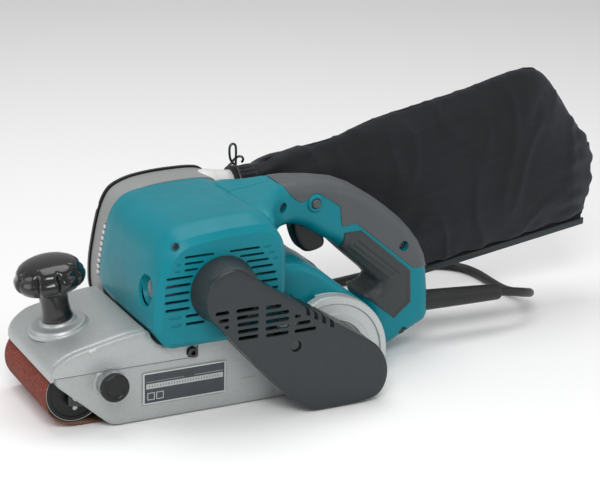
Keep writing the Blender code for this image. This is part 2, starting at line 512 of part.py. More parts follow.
guard = combine(guard, [boxes("g5", vent), rod("g6", (170, -110, 62), (170, -60, 62), 3.3, 12, CUTTERS),
                        rod("g7", (170, -110, 62), (170, -97.5, 62), 4.8, 12, CUTTERS)], "DIFFERENCE")
dress(guard, "cover")
dress(turned("cover_screw", [(0, 0), (4.3, 0), (4.3, -3), (2.9, -3), (2.9, -38), (0, -38)], (170, -100.8, 62), (0, -1, 0), False, 10), "steel")

# ------------------------------------------------------------------ fan case, its cover and the dust spigot
case = flat("fan_housing", FAN_CASE, *FAN_Y)
case = combine(case, flat("n1", grow(FAN_CASE, -3.0), FAN_Y[0] + 2.7, FAN_Y[1] + 8, CUTTERS), "DIFFERENCE")
case = combine(case, rod("n2", (MOTOR_X, 49, MOTOR_Z), (MOTOR_X, 57.0, MOTOR_Z), 15.0, 24, CUTTERS), "UNION")
case = combine(case, [rod("n3", (MOTOR_X, 46, MOTOR_Z), (MOTOR_X, 60, MOTOR_Z), 11.3, 24, CUTTERS),
                      rod("n4", (150, BAG_Y, SPIGOT_Z), (192, BAG_Y, SPIGOT_Z), 13.3, 24, CUTTERS)], "DIFFERENCE")
dress(case, "grey")
plate = flat("fan_cover", grow(FAN_CASE, -0.4), FAN_Y[1] + GAP, 80.6, soft=("hi",), width=1.6)
grille = [((92 + 0.0 * k, 74, 84.0 + 7.0 * k), (139, 84, 87.0 + 7.0 * k)) for k in range(8)]
dress(combine(plate, boxes("n5", grille), "DIFFERENCE"), "black")
dress(washer("dust_nozzle", (161, BAG_Y, SPIGOT_Z), (1, 0, 0), 10.8, 13.0, 38.0, 20), "pale")

# ------------------------------------------------------------------ rear cover over the drive roller
deck = REAR_DECK + [(270.5, 2.0)] + arc(SPACING, ROLL_Z, 30.0, -18, 90, 9) + [(192.4, 58), (192.4, 64.4), (173.5, 64.4)]
rear_cover = flat("rear_cover", deck, -49.6, 47.9, soft=("lo",), width=3.0)
hollow = [(177, 68.5), (199, 67.5)] + arc(SPACING, ROLL_Z, 36.0, 90, 10, 7) + arc(SPACING, ROLL_Z, 54.5, 6, 40, 5) + \
         [(253, 67.5), (243, 76), (229, 87.5), (214, 99.5), (199, 106), (177, 107)]
rear_cover = combine(rear_cover, flat("r1", hollow, -46.4, 60, CUTTERS), "DIFFERENCE")
dress(rear_cover, "teal")

# ------------------------------------------------------------------ handle halves, grips, switch
for label, s in (("left", -1.0), ("right", 1.0)):
    y_out, y_in = s * HANDLE_HALF, s * 0.2
    lo, hi = min(y_out, y_in), max(y_out, y_in)
    shell = flat("handle_" + label, HANDLE, lo, hi, soft=("lo",) if s < 0 else ("hi",), width=3.2, steps=1)
    y_deep = s * (HANDLE_HALF - 3.4)
    shell = combine(shell, flat("w1", HANDLE_CORE, min(y_deep, -2 * s), max(y_deep, -2 * s), CUTTERS), "DIFFERENCE")
    cuts = [box("w2", (208.5, -10.2, 96), (251, 10.2, 146), CUTTERS), rod("w3", (338, 0, 40), (350, 0, 40), 6.2, 18, CUTTERS)]
    if s < 0:
        cuts += [rod("w4", (226, -30, 152.5), (226, -15, 152.5), 4.4, 16, CUTTERS)]
        for x, z in ((194, 153.5), (313, 103.0), (316.5, 22.0)):
            cuts.append(rod("w5", (x, -30, z), (x, -19.6, z), 3.9, 14, CUTTERS))
    for key, shape in (("top", GRIP_TOP), ("low", GRIP_LOW)):
        cuts.append(flat("w6", grow(shape, 0.35), min(s * 21.0, s * 26), max(s * 21.0, s * 26), CUTTERS))
    shell = combine(shell, cuts, "DIFFERENCE")
    dress(shell, "teal")
    for key, shape in (("grip_top_", GRIP_TOP), ("grip_side_", GRIP_LOW)):
        a, b = sorted((s * 21.3, s * 23.2))
        pad = flat(key + label, shape, a, b, soft=("lo",) if s < 0 else ("hi",), width=0.8)
        if key == "grip_top_" and s < 0:
            pad = combine(pad, rod("w7", (313, -30, 103), (313, -19, 103), 4.1, 14, CUTTERS), "DIFFERENCE")
        dress(pad, "rubber")
for label, x, z in (("front", 194, 153.5), ("rear", 313, 103.0), ("lower", 316.5, 22.0)):
    dress(turned("handle_screw_" + label, [(0, 0), (3.2, 0), (3.5, -0.4), (3.5, -1.2), (0, -1.2)], (x, -21.1 if label != "rear" else -21.6, z), (0, -1, 0), False, 14), "steel")

trigger_side = [(213, 142), (211.5, 132), (213.5, 122), (217.5, 112), (222.5, 105.5), (229, 103.8), (238, 105.5), (244, 109), (242, 116), (238, 124), (236, 134), (232, 142)]
trigger = flat("trigger", trigger_side, -8.6, 8.6, soft=("lo", "hi"), width=1.6)
trigger = combine(trigger, rod("t1", (216, -12, 138), (216, 12, 138), 2.3, 12, CUTTERS), "DIFFERENCE")
dress(trigger, "black", (216, 0, 138))
dress(box("switch_body", (247.5, -11, 131), (272, 11, 146)), "black")
dress(turned("lock_button", [(0, 3.0), (3.2, 3.0), (4.0, 2.2), (4.0, -5), (0, -5)], (226, -22.0, 152.5), (0, -1, 0), False, 16), "grey", (226, -22.0, 152.5))

# ------------------------------------------------------------------ dust bag
edge = lambda x: 47.0 + (x - 384.0) * RAIL_SLOPE
bag_side = [(201, 136.5), (215, 135), (250, 127), (282, 110), (314, 83), (338, 56), (347, edge(347) + 0.6), (556, edge(556) + 0.6), (561, 92), (564.5, 110),
            (562, 142), (552, 162), (537, 171), (523, 194), (508, 215), (497, 225), (480, 229), (415, 213.5), (335, 198), (304, 188), (287, 181.5),
            (244, 174.5), (222, 171), (201, 167.5)]
bag = flat("dust_bag", bag_side, BAG_Y - 21.0, BAG_Y + 21.0, soft=("lo", "hi"), width=8.0, steps=1)
bag = combine(bag, rod("d1", (195, BAG_Y, SPIGOT_Z), (215, BAG_Y, SPIGOT_Z), 13.3, 24, CUTTERS), "DIFFERENCE")
cuff = washer("d2", (184, BAG_Y, SPIGOT_Z), (1, 0, 0), 13.4, 16.4, 20.0, 20, 0.0, CUTTERS)
dress(combine(bag, cuff, "UNION"), "cloth")
ring = [(188.0, BAG_Y + 18.2 * math.cos(t), SPIGOT_Z + 18.2 * math.sin(t)) for t in [math.radians(100 + 340 * k / 24.0) for k in range(25)]]
clip_points = [(184, BAG_Y - 6, SPIGOT_Z + 38), (180.5, BAG_Y - 6, SPIGOT_Z + 36), (180, BAG_Y - 5.5, SPIGOT_Z + 26), (183, BAG_Y - 4, SPIGOT_Z + 20)] + ring + \
              [(189, BAG_Y + 5, SPIGOT_Z + 20.5), (188.5, BAG_Y - 1, SPIGOT_Z + 26), (187.5, BAG_Y - 3.5, SPIGOT_Z + 34)]
dress(tube("bag_clip", clip_points, 1.1, 1), "steel")
rail_side = [(345, edge(345) - 6.6), (556.5, edge(556.5) - 6.6), (556.5, edge(556.5)), (345, edge(345))]
dress(flat("bag_rail", rail_side, BAG_Y - 4.5, BAG_Y + 4.5), "cover")

# ------------------------------------------------------------------ lead: guard, free run, stored coil and plug
dress(turned("cord_guard", [(0, 0), (6.6, 0), (7.4, -1.2), (8.4, -40), (9.0, -76), (9.6, -84), (5.8, -84), (5.8, -91), (0, -91)],
             (428.0, 0, 36.2), (84.0, 0, -3.6), False, 16), "black")
GUARD_END = (428.7, 0.0, 36.1)
TURN_R, RUN_BACK_Y, CORD_Z = 43.0, 166.0, 4.3


def cord_knots():
    """The lead's free run: straight out of the guard and down to the floor, a quarter turn, across, a quarter turn, and back towards the coil."""
    lead_out, quarter, across, fall, dip = 10.0, TURN_R * math.pi / 2, RUN_BACK_Y - 2 * TURN_R, 120.0, -0.10
    knots = []
    for k in range(15):
        s = 17.0 * k
        t = min(1.0, s / fall)
        z = (2 * t**3 - 3 * t**2 + 1) * GUARD_END[2] + (t**3 - 2 * t**2 + t) * fall * dip + (3 * t**2 - 2 * t**3) * CORD_Z
        x, y = GUARD_END[0] + min(s, lead_out), 0.0
        first = min(max(s - lead_out, 0.0), quarter) / TURN_R
        second = min(max(s - lead_out - quarter - across, 0.0), quarter) / TURN_R
        x += TURN_R * math.sin(first) - TURN_R * (1 - math.cos(second))
        y += TURN_R * (1 - math.cos(first)) + min(max(s - lead_out - quarter, 0.0), across) + TURN_R * math.sin(second)
        x -= max(s - lead_out - 2 * quarter - across, 0.0)
        knots.append((x, y, z))
    return knots + [(400, 165, CORD_Z), (370, 160.5, CORD_Z), (335, 154.5, CORD_Z), (303, 153, CORD_Z), (275, 159, CORD_Z), (248.2, 173.3, CORD_Z)]


CORD_KNOTS = cord_knots()
cord_points = smooth_route(CORD_KNOTS, 10.0)
dress(tube("power_cord", cord_points, CORD_R, 2), "black")
round_end = [(COIL_OUT, 6), (COIL_OUT, 19), (52, 25), (39, 25), (COIL_IN, 19), (COIL_IN, 6), (39, 0.2), (52, 0.2)]
dress(turned("cord_coil", round_end, (COIL_AT[0], COIL_AT[1], 0), (0, 0, 1), True, 24), "black")
PLUG_AT = Vector((100.8, 139.0, 15.6))
pin_dir = Vector((-0.70, -0.714, 0)).normalized()
pin_side = Vector((0.714, -0.70, 0)).normalized()
plug = turned("power_plug", [(0, 0), (13, 0), (15, -2), (15, -12), (11, -26), (7, -38), (0, -38)], tuple(PLUG_AT), pin_dir, False, 14)
pins = []
for s in (-1, 1):
    base = PLUG_AT + pin_side * 9.5 * s
    pins.append(rod("pin", tuple(base - pin_dir * 4), tuple(base + pin_dir * 19), 2.4, 8, CUTTERS))
dress(combine(plug, pins, "UNION"), "black")
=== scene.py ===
"""Handheld belt sander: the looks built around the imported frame.

Stations are millimetres behind the front roller's axis, widths are Y (left side is -Y) and heights are
above the floor, as in the CAD source; at() turns them into metres in the frame.
"""
import math

import bmesh
import bpy
import numpy as np
from mathutils import Matrix, Vector
from mathutils.geometry import delaunay_2d_cdt


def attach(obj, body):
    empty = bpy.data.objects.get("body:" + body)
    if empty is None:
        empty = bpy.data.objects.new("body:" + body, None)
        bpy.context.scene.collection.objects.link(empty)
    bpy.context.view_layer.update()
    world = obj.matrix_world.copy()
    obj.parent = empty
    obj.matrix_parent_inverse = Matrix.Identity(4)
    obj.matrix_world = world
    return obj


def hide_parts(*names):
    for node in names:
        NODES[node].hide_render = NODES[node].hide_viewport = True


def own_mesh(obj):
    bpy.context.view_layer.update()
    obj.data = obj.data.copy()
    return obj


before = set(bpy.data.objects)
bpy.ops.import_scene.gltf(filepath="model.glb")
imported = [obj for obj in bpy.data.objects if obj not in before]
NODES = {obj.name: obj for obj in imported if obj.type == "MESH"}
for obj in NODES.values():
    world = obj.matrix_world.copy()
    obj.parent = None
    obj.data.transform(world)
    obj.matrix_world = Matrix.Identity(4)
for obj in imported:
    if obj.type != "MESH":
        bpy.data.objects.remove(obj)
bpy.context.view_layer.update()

MM = 0.001
SPACING = 221.7
MIDDLE = SPACING / 2.0
ROLL_Z = 28.0
BELT_R = 27.0
WALL_Y = -64.0
MOTOR_X, MOTOR_Z = 115.5, 110.0
BAG_Y = 62.0
SPIGOT_Z = 150.0
CORD_R = 4.15
KNOB_BASE = (3.7, 70.4)
KNOB_LEAN = math.radians(9.5)
LEAN = Vector((-math.sin(KNOB_LEAN), 0.0, math.cos(KNOB_LEAN)))

for thing in [o for o in bpy.data.objects if o.type in ("CAMERA", "LIGHT")]:
    bpy.data.objects.remove(thing)
SCENE = bpy.context.scene


# =================================================================== places
def at(x, y, z):
    return Vector(((x - MIDDLE) * MM, y * MM, z * MM))


def on_knob(h):
    return (KNOB_BASE[0] + LEAN.x * h, 0.0, KNOB_BASE[1] + LEAN.z * h)


# =================================================================== camera
def make_camera():
    az, el, roll, focal, cu, cv, dist = -26.793, 19.416, 1.367, 1988.341, 167.367, 296.113, 1664.265
    a, e, r = (math.radians(v) for v in (az, el, roll))
    back = Vector((math.sin(a) * math.cos(e), -math.cos(a) * math.cos(e), math.sin(e)))
    right = Vector((math.cos(a), math.sin(a), 0.0))
    up = back.cross(right)
    r2 = right * math.cos(r) + up * math.sin(r)
    u2 = -right * math.sin(r) + up * math.cos(r)
    pos = Vector((100, 0, 80)) + back * dist - r2 * ((cu - 300) / focal * dist) - u2 * (-(cv - 251) / focal * dist)
    data = bpy.data.cameras.new("camera")
    data.sensor_width = 36.0
    data.lens = focal * 36.0 / 600.0
    data.clip_start, data.clip_end = 0.05, 30.0
    ob = bpy.data.objects.new("camera", data)
    SCENE.collection.objects.link(ob)
    turn = Matrix((r2, u2, back)).transposed().to_4x4()
    ob.matrix_world = Matrix.Translation(at(*pos)) @ turn
    SCENE.camera = ob


make_camera()


# =================================================================== outline tools
def signed_area(loop):
    return 0.5 * sum(a[0] * b[1] - b[0] * a[1] for a, b in zip(loop, loop[1:] + loop[:1]))


def grow(loop, by):
    if signed_area(loop) < 0:
        loop = loop[::-1]
    out = []
    for i in range(len(loop)):
        (ax, az), (bx, bz), (cx, cz) = loop[i - 1], loop[i], loop[(i + 1) % len(loop)]
        n1 = Vector((bz - az, ax - bx)).normalized()
        n2 = Vector((cz - bz, bx - cx)).normalized()
        mid = (n1 + n2) / max(0.45, 1.0 + n1.dot(n2))
        out.append((bx + mid.x * by, bz + mid.y * by))
    return out


def arc(cx, cz, r, a0, a1, count):
    return [(cx + r * math.cos(math.radians(a0 + (a1 - a0) * i / (count - 1))),
             cz + r * math.sin(math.radians(a0 + (a1 - a0) * i / (count - 1)))) for i in range(count)]


def hull(circles, count=96):
    pts = sorted({(round(x + r * math.cos(2 * math.pi * k / count), 5), round(z + r * math.sin(2 * math.pi * k / count), 5))
                  for x, z, r in circles for k in range(count)})

    def half(points):
        chain = []
        for p in points:
            while len(chain) > 1 and ((chain[-1][0] - chain[-2][0]) * (p[1] - chain[-2][1])
                                      - (chain[-1][1] - chain[-2][1]) * (p[0] - chain[-2][0])) <= 1e-9:
                chain.pop()
            chain.append(p)
        return chain[:-1]
    return half(pts) + half(pts[::-1])


def eased(loop, rounds=2, near=7.0):
    """Corners cut back into short arcs: a closed outline drawn through straight runs and soft corners."""
    for _ in range(rounds):
        out = []
        for i in range(len(loop)):
            a, b, c = Vector(loop[i - 1]), Vector(loop[i]), Vector(loop[(i + 1) % len(loop)])
            p = b + (a - b).normalized() * min(near, (a - b).length * 0.25)
            q = b + (c - b).normalized() * min(near, (c - b).length * 0.25)
            out += [tuple(p), tuple(q)]
        loop = out
        near *= 0.5
    return loop


def resampled(loop, step):
    out = []
    for a, b in zip(loop, loop[1:] + loop[:1]):
        run = math.dist(a, b)
        count = max(1, int(round(run / step)))
        out += [(a[0] + (b[0] - a[0]) * k / count, a[1] + (b[1] - a[1]) * k / count) for k in range(count)]
    return out


def stadium(x0, x1, z, r, n=6):
    """A slot with round ends."""
    return arc(x1 - r, z, r, -90, 90, n) + arc(x0 + r, z, r, 90, 270, n)


def round_box(x0, z0, x1, z1, r, n=5):
    return (arc(x1 - r, z0 + r, r, -90, 0, n) + arc(x1 - r, z1 - r, r, 0, 90, n)
            + arc(x0 + r, z1 - r, r, 90, 180, n) + arc(x0 + r, z0 + r, r, 180, 270, n))


def ring_of(cx, cz, r, n=32):
    return [(cx + r * math.cos(2 * math.pi * k / n), cz + r * math.sin(2 * math.pi * k / n)) for k in range(n)]


def inside(points, loop):
    poly = np.asarray(loop, float)
    x, z = points[:, 0:1], points[:, 1:2]
    ax, az = poly[:, 0], poly[:, 1]
    bx, bz = np.roll(ax, -1), np.roll(az, -1)
    with np.errstate(divide="ignore", invalid="ignore"):
        cross = (bx - ax) * (z - az) / (bz - az) + ax
    hit = ((az > z) != (bz > z)) & (x < cross)
    return (hit.sum(axis=1) % 2) == 1


def gap_to(points, loop):
    """Distance from each point to the outline."""
    poly = np.asarray(loop, float)
    a = poly[None]
    d = np.roll(poly, -1, axis=0)[None] - a
    long2 = np.maximum((d ** 2).sum(-1), 1e-12)
    best = np.full(len(points), 1e9)
    for start in range(0, len(points), 2000):
        p = points[start:start + 2000, None]
        t = np.clip(((p - a) * d).sum(-1) / long2, 0, 1)
        near = a + d * t[..., None]
        best[start:start + 2000] = np.sqrt(((p - near) ** 2).sum(-1)).min(axis=1)
    return best


def smooth(t):
    t = np.clip(t, 0, 1)
    return t * t * (3 - 2 * t)


# =================================================================== mesh tools
def mesh_object(name, verts, faces, scaled=True):
    me = bpy.data.meshes.new(name)
    v = np.asarray(verts, float).copy()
    if scaled:
        v[:, 0] -= MIDDLE
        v *= MM
    me.from_pydata([tuple(p) for p in v], [], faces)
    me.update()
    ob = bpy.data.objects.new(name, me)
    SCENE.collection.objects.link(ob)
    return ob


def cleaned(ob, weld=1e-6):
    bm = bmesh.new()
    bm.from_mesh(ob.data)
    if weld:
        bmesh.ops.remove_doubles(bm, verts=bm.verts, dist=weld)
    bmesh.ops.dissolve_degenerate(bm, edges=bm.edges, dist=1e-7)
    loose = [v for v in bm.verts if not v.link_faces]
    if loose:
        bmesh.ops.delete(bm, geom=loose, context="VERTS")
    bmesh.ops.recalc_face_normals(bm, faces=bm.faces)
    bm.to_mesh(ob.data)
    bm.free()
    return ob


def applied(ob):
    bpy.context.view_layer.update()
    graph = bpy.context.evaluated_depsgraph_get()
    mesh = bpy.data.meshes.new_from_object(ob.evaluated_get(graph))
    mesh.transform(ob.matrix_world)
    name = ob.name
    bpy.data.objects.remove(ob, do_unlink=True)
    new = bpy.data.objects.new(name, mesh)
    SCENE.collection.objects.link(new)
    new.name = name
    return new


def boolean(ob, others, how):
    for other in others:
        mod = ob.modifiers.new(how.lower(), "BOOLEAN")
        mod.operation = how
        mod.solver = "EXACT"
        mod.object = other
    new = applied(ob)
    for other in others:
        bpy.data.objects.remove(other, do_unlink=True)
    return cleaned(new)


def plan(outline, holes=(), lines=(), rings=(), spacing=3.0, edge=1.5, hole_edge=1.0):
    """A triangulated flat region with its holes left out: points, triangles."""
    border = resampled(outline, edge)
    loops = [border] + [resampled(h, hole_edge) for h in holes] + [resampled(h, hole_edge) for h in lines]
    pts, edges = [], []
    for loop in loops:
        base = len(pts)
        pts += loop
        edges += [(base + i, base + (i + 1) % len(loop)) for i in range(len(loop))]
    if signed_area(border) < 0:
        border = border[::-1]
    extra = []
    for d in rings:
        ring = []
        for i in range(len(border)):
            a, b = Vector(border[i - 1]), Vector(border[(i + 1) % len(border)])
            n = Vector((a.y - b.y, b.x - a.x)).normalized()
            ring.append((border[i][0] + n.x * d, border[i][1] + n.y * d))
        ring = np.array(ring)
        keep = inside(ring, border) & (gap_to(ring, border) > d * 0.985)
        ring = ring[keep]
        if len(ring):
            extra.append(ring)
    poly = np.array(border)
    lo, hi = poly.min(0), poly.max(0)
    rows = []
    z, k = lo[1], 0
    while z < hi[1]:
        xs = np.arange(lo[0] + (spacing / 2 if k % 2 else 0), hi[0], spacing)
        rows.append(np.stack([xs, np.full(len(xs), z)], 1))
        z += spacing * 0.866
        k += 1
    grid = np.concatenate(rows)
    keep = inside(grid, border)
    grid = grid[keep]
    clear = gap_to(grid, border) > (max(rings) if rings else 0) + spacing * 0.55
    grid = grid[clear]
    extra.append(grid)
    extra = np.concatenate(extra)
    for loop in loops[1:]:
        away = gap_to(extra, loop) > min(hole_edge * 0.8, spacing * 0.4)
        extra = extra[away]
    pts = [Vector(p) for p in pts] + [Vector(p) for p in extra]
    coords, _, faces, _, _, _ = delaunay_2d_cdt(pts, edges, [], 0, 1e-6)
    co = np.array([tuple(c) for c in coords])
    tri = np.array([f for f in faces if len(f) == 3])
    mid = co[tri].mean(axis=1)
    keep = inside(mid, border)
    for h in holes:
        keep &= ~inside(mid, h)
    tri = tri[keep]
    u, v = co[tri[:, 1]] - co[tri[:, 0]], co[tri[:, 2]] - co[tri[:, 0]]
    area = u[:, 0] * v[:, 1] - u[:, 1] * v[:, 0]
    tri = tri[np.abs(area) > 1e-7]
    area = area[np.abs(area) > 1e-7]
    tri[area < 0] = tri[area < 0][:, ::-1]
    used = np.unique(tri)
    remap = np.full(len(co), -1)
    remap[used] = np.arange(len(used))
    return co[used], remap[tri]


def relief(name, outline, y_face, y_back, facing=-1, holes=(), levels=(), r=0.0, r_depth=None, round_to=None, spacing=3.0, edge=1.5,
           hole_edge=1.0, steps=1, back="flat", shape=None, own=0.0, profile=None, back_of=None, ring_at=None):
    """A piece with a modelled face towards -Y or +Y: rim rounding r, raised or sunk levels (loop, depth, slope) and real holes.
    back is flat, or open for a shell that is thickened later."""
    lines = []
    for loop, depth, slope in levels:
        lines.append(loop)
        lines.append(grow(loop, -slope))
    angles = [math.radians(a) for a in (18, 34, 48, 62, 76, 90)]
    rings = [r * (1 - math.cos(a)) for a in angles] if r else ([own * 0.4, own] if own else [])
    if round_to is not None:
        rings = [own * 0.4, own] if own else []
    if ring_at is not None:
        rings = list(ring_at)
    p, tri = plan(outline, holes, lines, rings, spacing, edge, hole_edge)
    away = gap_to(p, round_to if round_to is not None else outline)
    depth = np.zeros(len(p))
    if r:
        near = np.clip(away / r, 0, 1)
        curve = 1 - np.sqrt(np.clip(1 - (1 - near) ** 2, 0, 1)) if profile is None else profile(near)
        depth += (r if r_depth is None else r_depth) * curve
    if own:
        near = np.clip(gap_to(p, outline) / own, 0, 1)
        depth += own * (1 - np.sqrt(np.clip(1 - (1 - near) ** 2, 0, 1)))
    for loop, deep, slope in levels:
        inner = inside(p, loop)
        dist = gap_to(p, loop)
        depth += np.where(inner, deep * np.clip(dist / slope, 0, 1), 0.0)
    y = y_face + depth if facing < 0 else y_face - depth
    n = len(p)
    verts = [np.stack([p[:, 0], y, p[:, 1]], 1)]
    faces = [tuple(int(i) for i in (f if facing < 0 else f[::-1])) for f in tri]
    pairs = np.concatenate([tri[:, [0, 1]], tri[:, [1, 2]], tri[:, [2, 0]]])
    key = np.sort(pairs, axis=1)
    _, index, count = np.unique(key, axis=0, return_inverse=True, return_counts=True)
    rim = pairs[count[index.reshape(-1)] == 1]
    if back_of is not None:
        yb = back_of(p[:, 0], p[:, 1])
    else:
        yb = np.full(n, float(y_back))
    base = n
    if back == "flat":
        verts.append(np.stack([p[:, 0], yb, p[:, 1]], 1))
        faces += [tuple(int(i) + n for i in (f[::-1] if facing < 0 else f)) for f in tri]
        base = 2 * n
    edge_of = {}
    rim_pts = np.unique(rim)
    if back == "open":
        holes_rim = np.zeros(n, bool)
        for h in holes:
            holes_rim |= gap_to(p, h) < 1e-4
        rim = rim[~(holes_rim[rim[:, 0]] & holes_rim[rim[:, 1]])]
        rim_pts = np.unique(rim)
    levels_of = [None] * (steps + 1)
    levels_of[0] = {int(i): int(i) for i in rim_pts}
    for s in range(1, steps + 1):
        if s == steps and back == "flat":
            levels_of[s] = {int(i): int(i) + n for i in rim_pts}
            continue
        t = s / steps
        ring = np.stack([p[rim_pts, 0], y[rim_pts] + (yb[rim_pts] - y[rim_pts]) * t, p[rim_pts, 1]], 1)
        levels_of[s] = {int(i): base + k for k, i in enumerate(rim_pts)}
        base += len(rim_pts)
        verts.append(ring)
    for a, b in rim:
        a, b = int(a), int(b)
        for s in range(steps):
            lo, hi = levels_of[s], levels_of[s + 1]
            quad = (lo[b], lo[a], hi[a], hi[b])
            faces.append(quad if facing < 0 else quad[::-1])
    v = np.concatenate(verts)
    if shape is not None:
        v = shape(v)
    ob = mesh_object(name, v, faces)
    return cleaned(ob, 0)


def thickened(ob, thickness, inwards=True):
    mod = ob.modifiers.new("wall", "SOLIDIFY")
    mod.thickness = thickness * MM
    mod.offset = -1.0 if inwards else 1.0
    mod.use_even_offset = False
    mod.use_rim = True
    return cleaned(applied(ob))


def lathe(name, profile, base, direction, steps=64, closed=False, flute=None):
    """A turned piece from the top down its outer side; flute(radius, height, angle) may change the radius."""
    turn = Vector(direction).to_track_quat("Z", "Y").to_matrix()
    origin = Vector(base)
    verts, faces, rows = [], [], []
    for r, h in profile:
        if r < 1e-6:
            rows.append([len(verts)])
            verts.append(tuple(origin + turn @ Vector((0, 0, h))))
            continue
        row = []
        for k in range(steps):
            a = 2 * math.pi * k / steps
            rr = flute(r, h, a) if flute else r
            row.append(len(verts))
            verts.append(tuple(origin + turn @ Vector((rr * math.cos(a), rr * math.sin(a), h))))
        rows.append(row)
    pairs = list(zip(rows, rows[1:])) + ([(rows[-1], rows[0])] if closed else [])
    for a, b in pairs:
        for k in range(steps):
            j = (k + 1) % steps
            if len(a) == 1 and len(b) == 1:
                continue
            if len(a) == 1:
                faces.append((a[0], b[k], b[j]))
            elif len(b) == 1:
                faces.append((a[k], b[0], a[j]))
            else:
                faces.append((a[k], b[k], b[j], a[j]))
    return cleaned(mesh_object(name, verts, faces), 0)


def eased_profile(points, rounds=2, near=0.8):
    """An open profile with its inner corners rounded."""
    pts = [Vector(p) for p in points]
    for _ in range(rounds):
        out = [pts[0]]
        for i in range(1, len(pts) - 1):
            a, b, c = pts[i - 1], pts[i], pts[i + 1]
            out.append(b + (a - b).normalized() * min(near, (a - b).length * 0.3))
            out.append(b + (c - b).normalized() * min(near, (c - b).length * 0.3))
        out.append(pts[-1])
        pts = out
        near *= 0.45
    return [tuple(p) for p in pts]


def rounded_block(name, lo, hi, r=1.0, segments=3):
    bm = bmesh.new()
    a, b = at(*lo), at(*hi)
    bmesh.ops.create_cube(bm, size=1.0, matrix=Matrix.Translation((a + b) / 2.0)
                          @ Matrix.Diagonal((*(abs(b[i] - a[i]) for i in range(3)), 1.0)))
    bmesh.ops.bevel(bm, geom=list(bm.edges), offset=r * MM, segments=segments, profile=0.5, affect="EDGES")
    me = bpy.data.meshes.new(name)
    bm.to_mesh(me)
    bm.free()
    ob = bpy.data.objects.new(name, me)
    SCENE.collection.objects.link(ob)
    return ob


def pipe(name, points, r, resolution=5, steps=1):
    """A round rod along points, as a mesh with closed ends."""
    curve = bpy.data.curves.new(name, "CURVE")
    curve.dimensions = "3D"
    curve.bevel_depth = r * MM
    curve.bevel_resolution = resolution
    curve.use_fill_caps = True
    spline = curve.splines.new("POLY")
    spline.points.add(len(points) - 1)
    for point, p in zip(spline.points, points):
        point.co = (*at(*p), 1.0)
    ob = bpy.data.objects.new(name, curve)
    SCENE.collection.objects.link(ob)
    return cleaned(applied(ob), 1e-7)


def smooth_route(knots, step):
    pts = [Vector(k) for k in knots]
    pts = [2 * pts[0] - pts[1]] + pts + [2 * pts[-1] - pts[-2]]
    fine = []
    for i in range(1, len(pts) - 2):
        p0, p1, p2, p3 = pts[i - 1:i + 3]
        for k in range(40):
            t = k / 40.0
            fine.append(0.5 * (2 * p1 + (p2 - p0) * t + (2 * p0 - 5 * p1 + 4 * p2 - p3) * t * t
                               + (3 * p1 - p0 - 3 * p2 + p3) * t ** 3))
    fine.append(pts[-2])
    runs = [0.0]
    for a, b in zip(fine, fine[1:]):
        runs.append(runs[-1] + (b - a).length)
    count = max(2, int(round(runs[-1] / step)))
    want = [runs[-1] * k / count for k in range(count + 1)]
    return [tuple(float(np.interp(w, runs, [p[c] for p in fine])) for c in range(len(fine[0]))) for w in want]


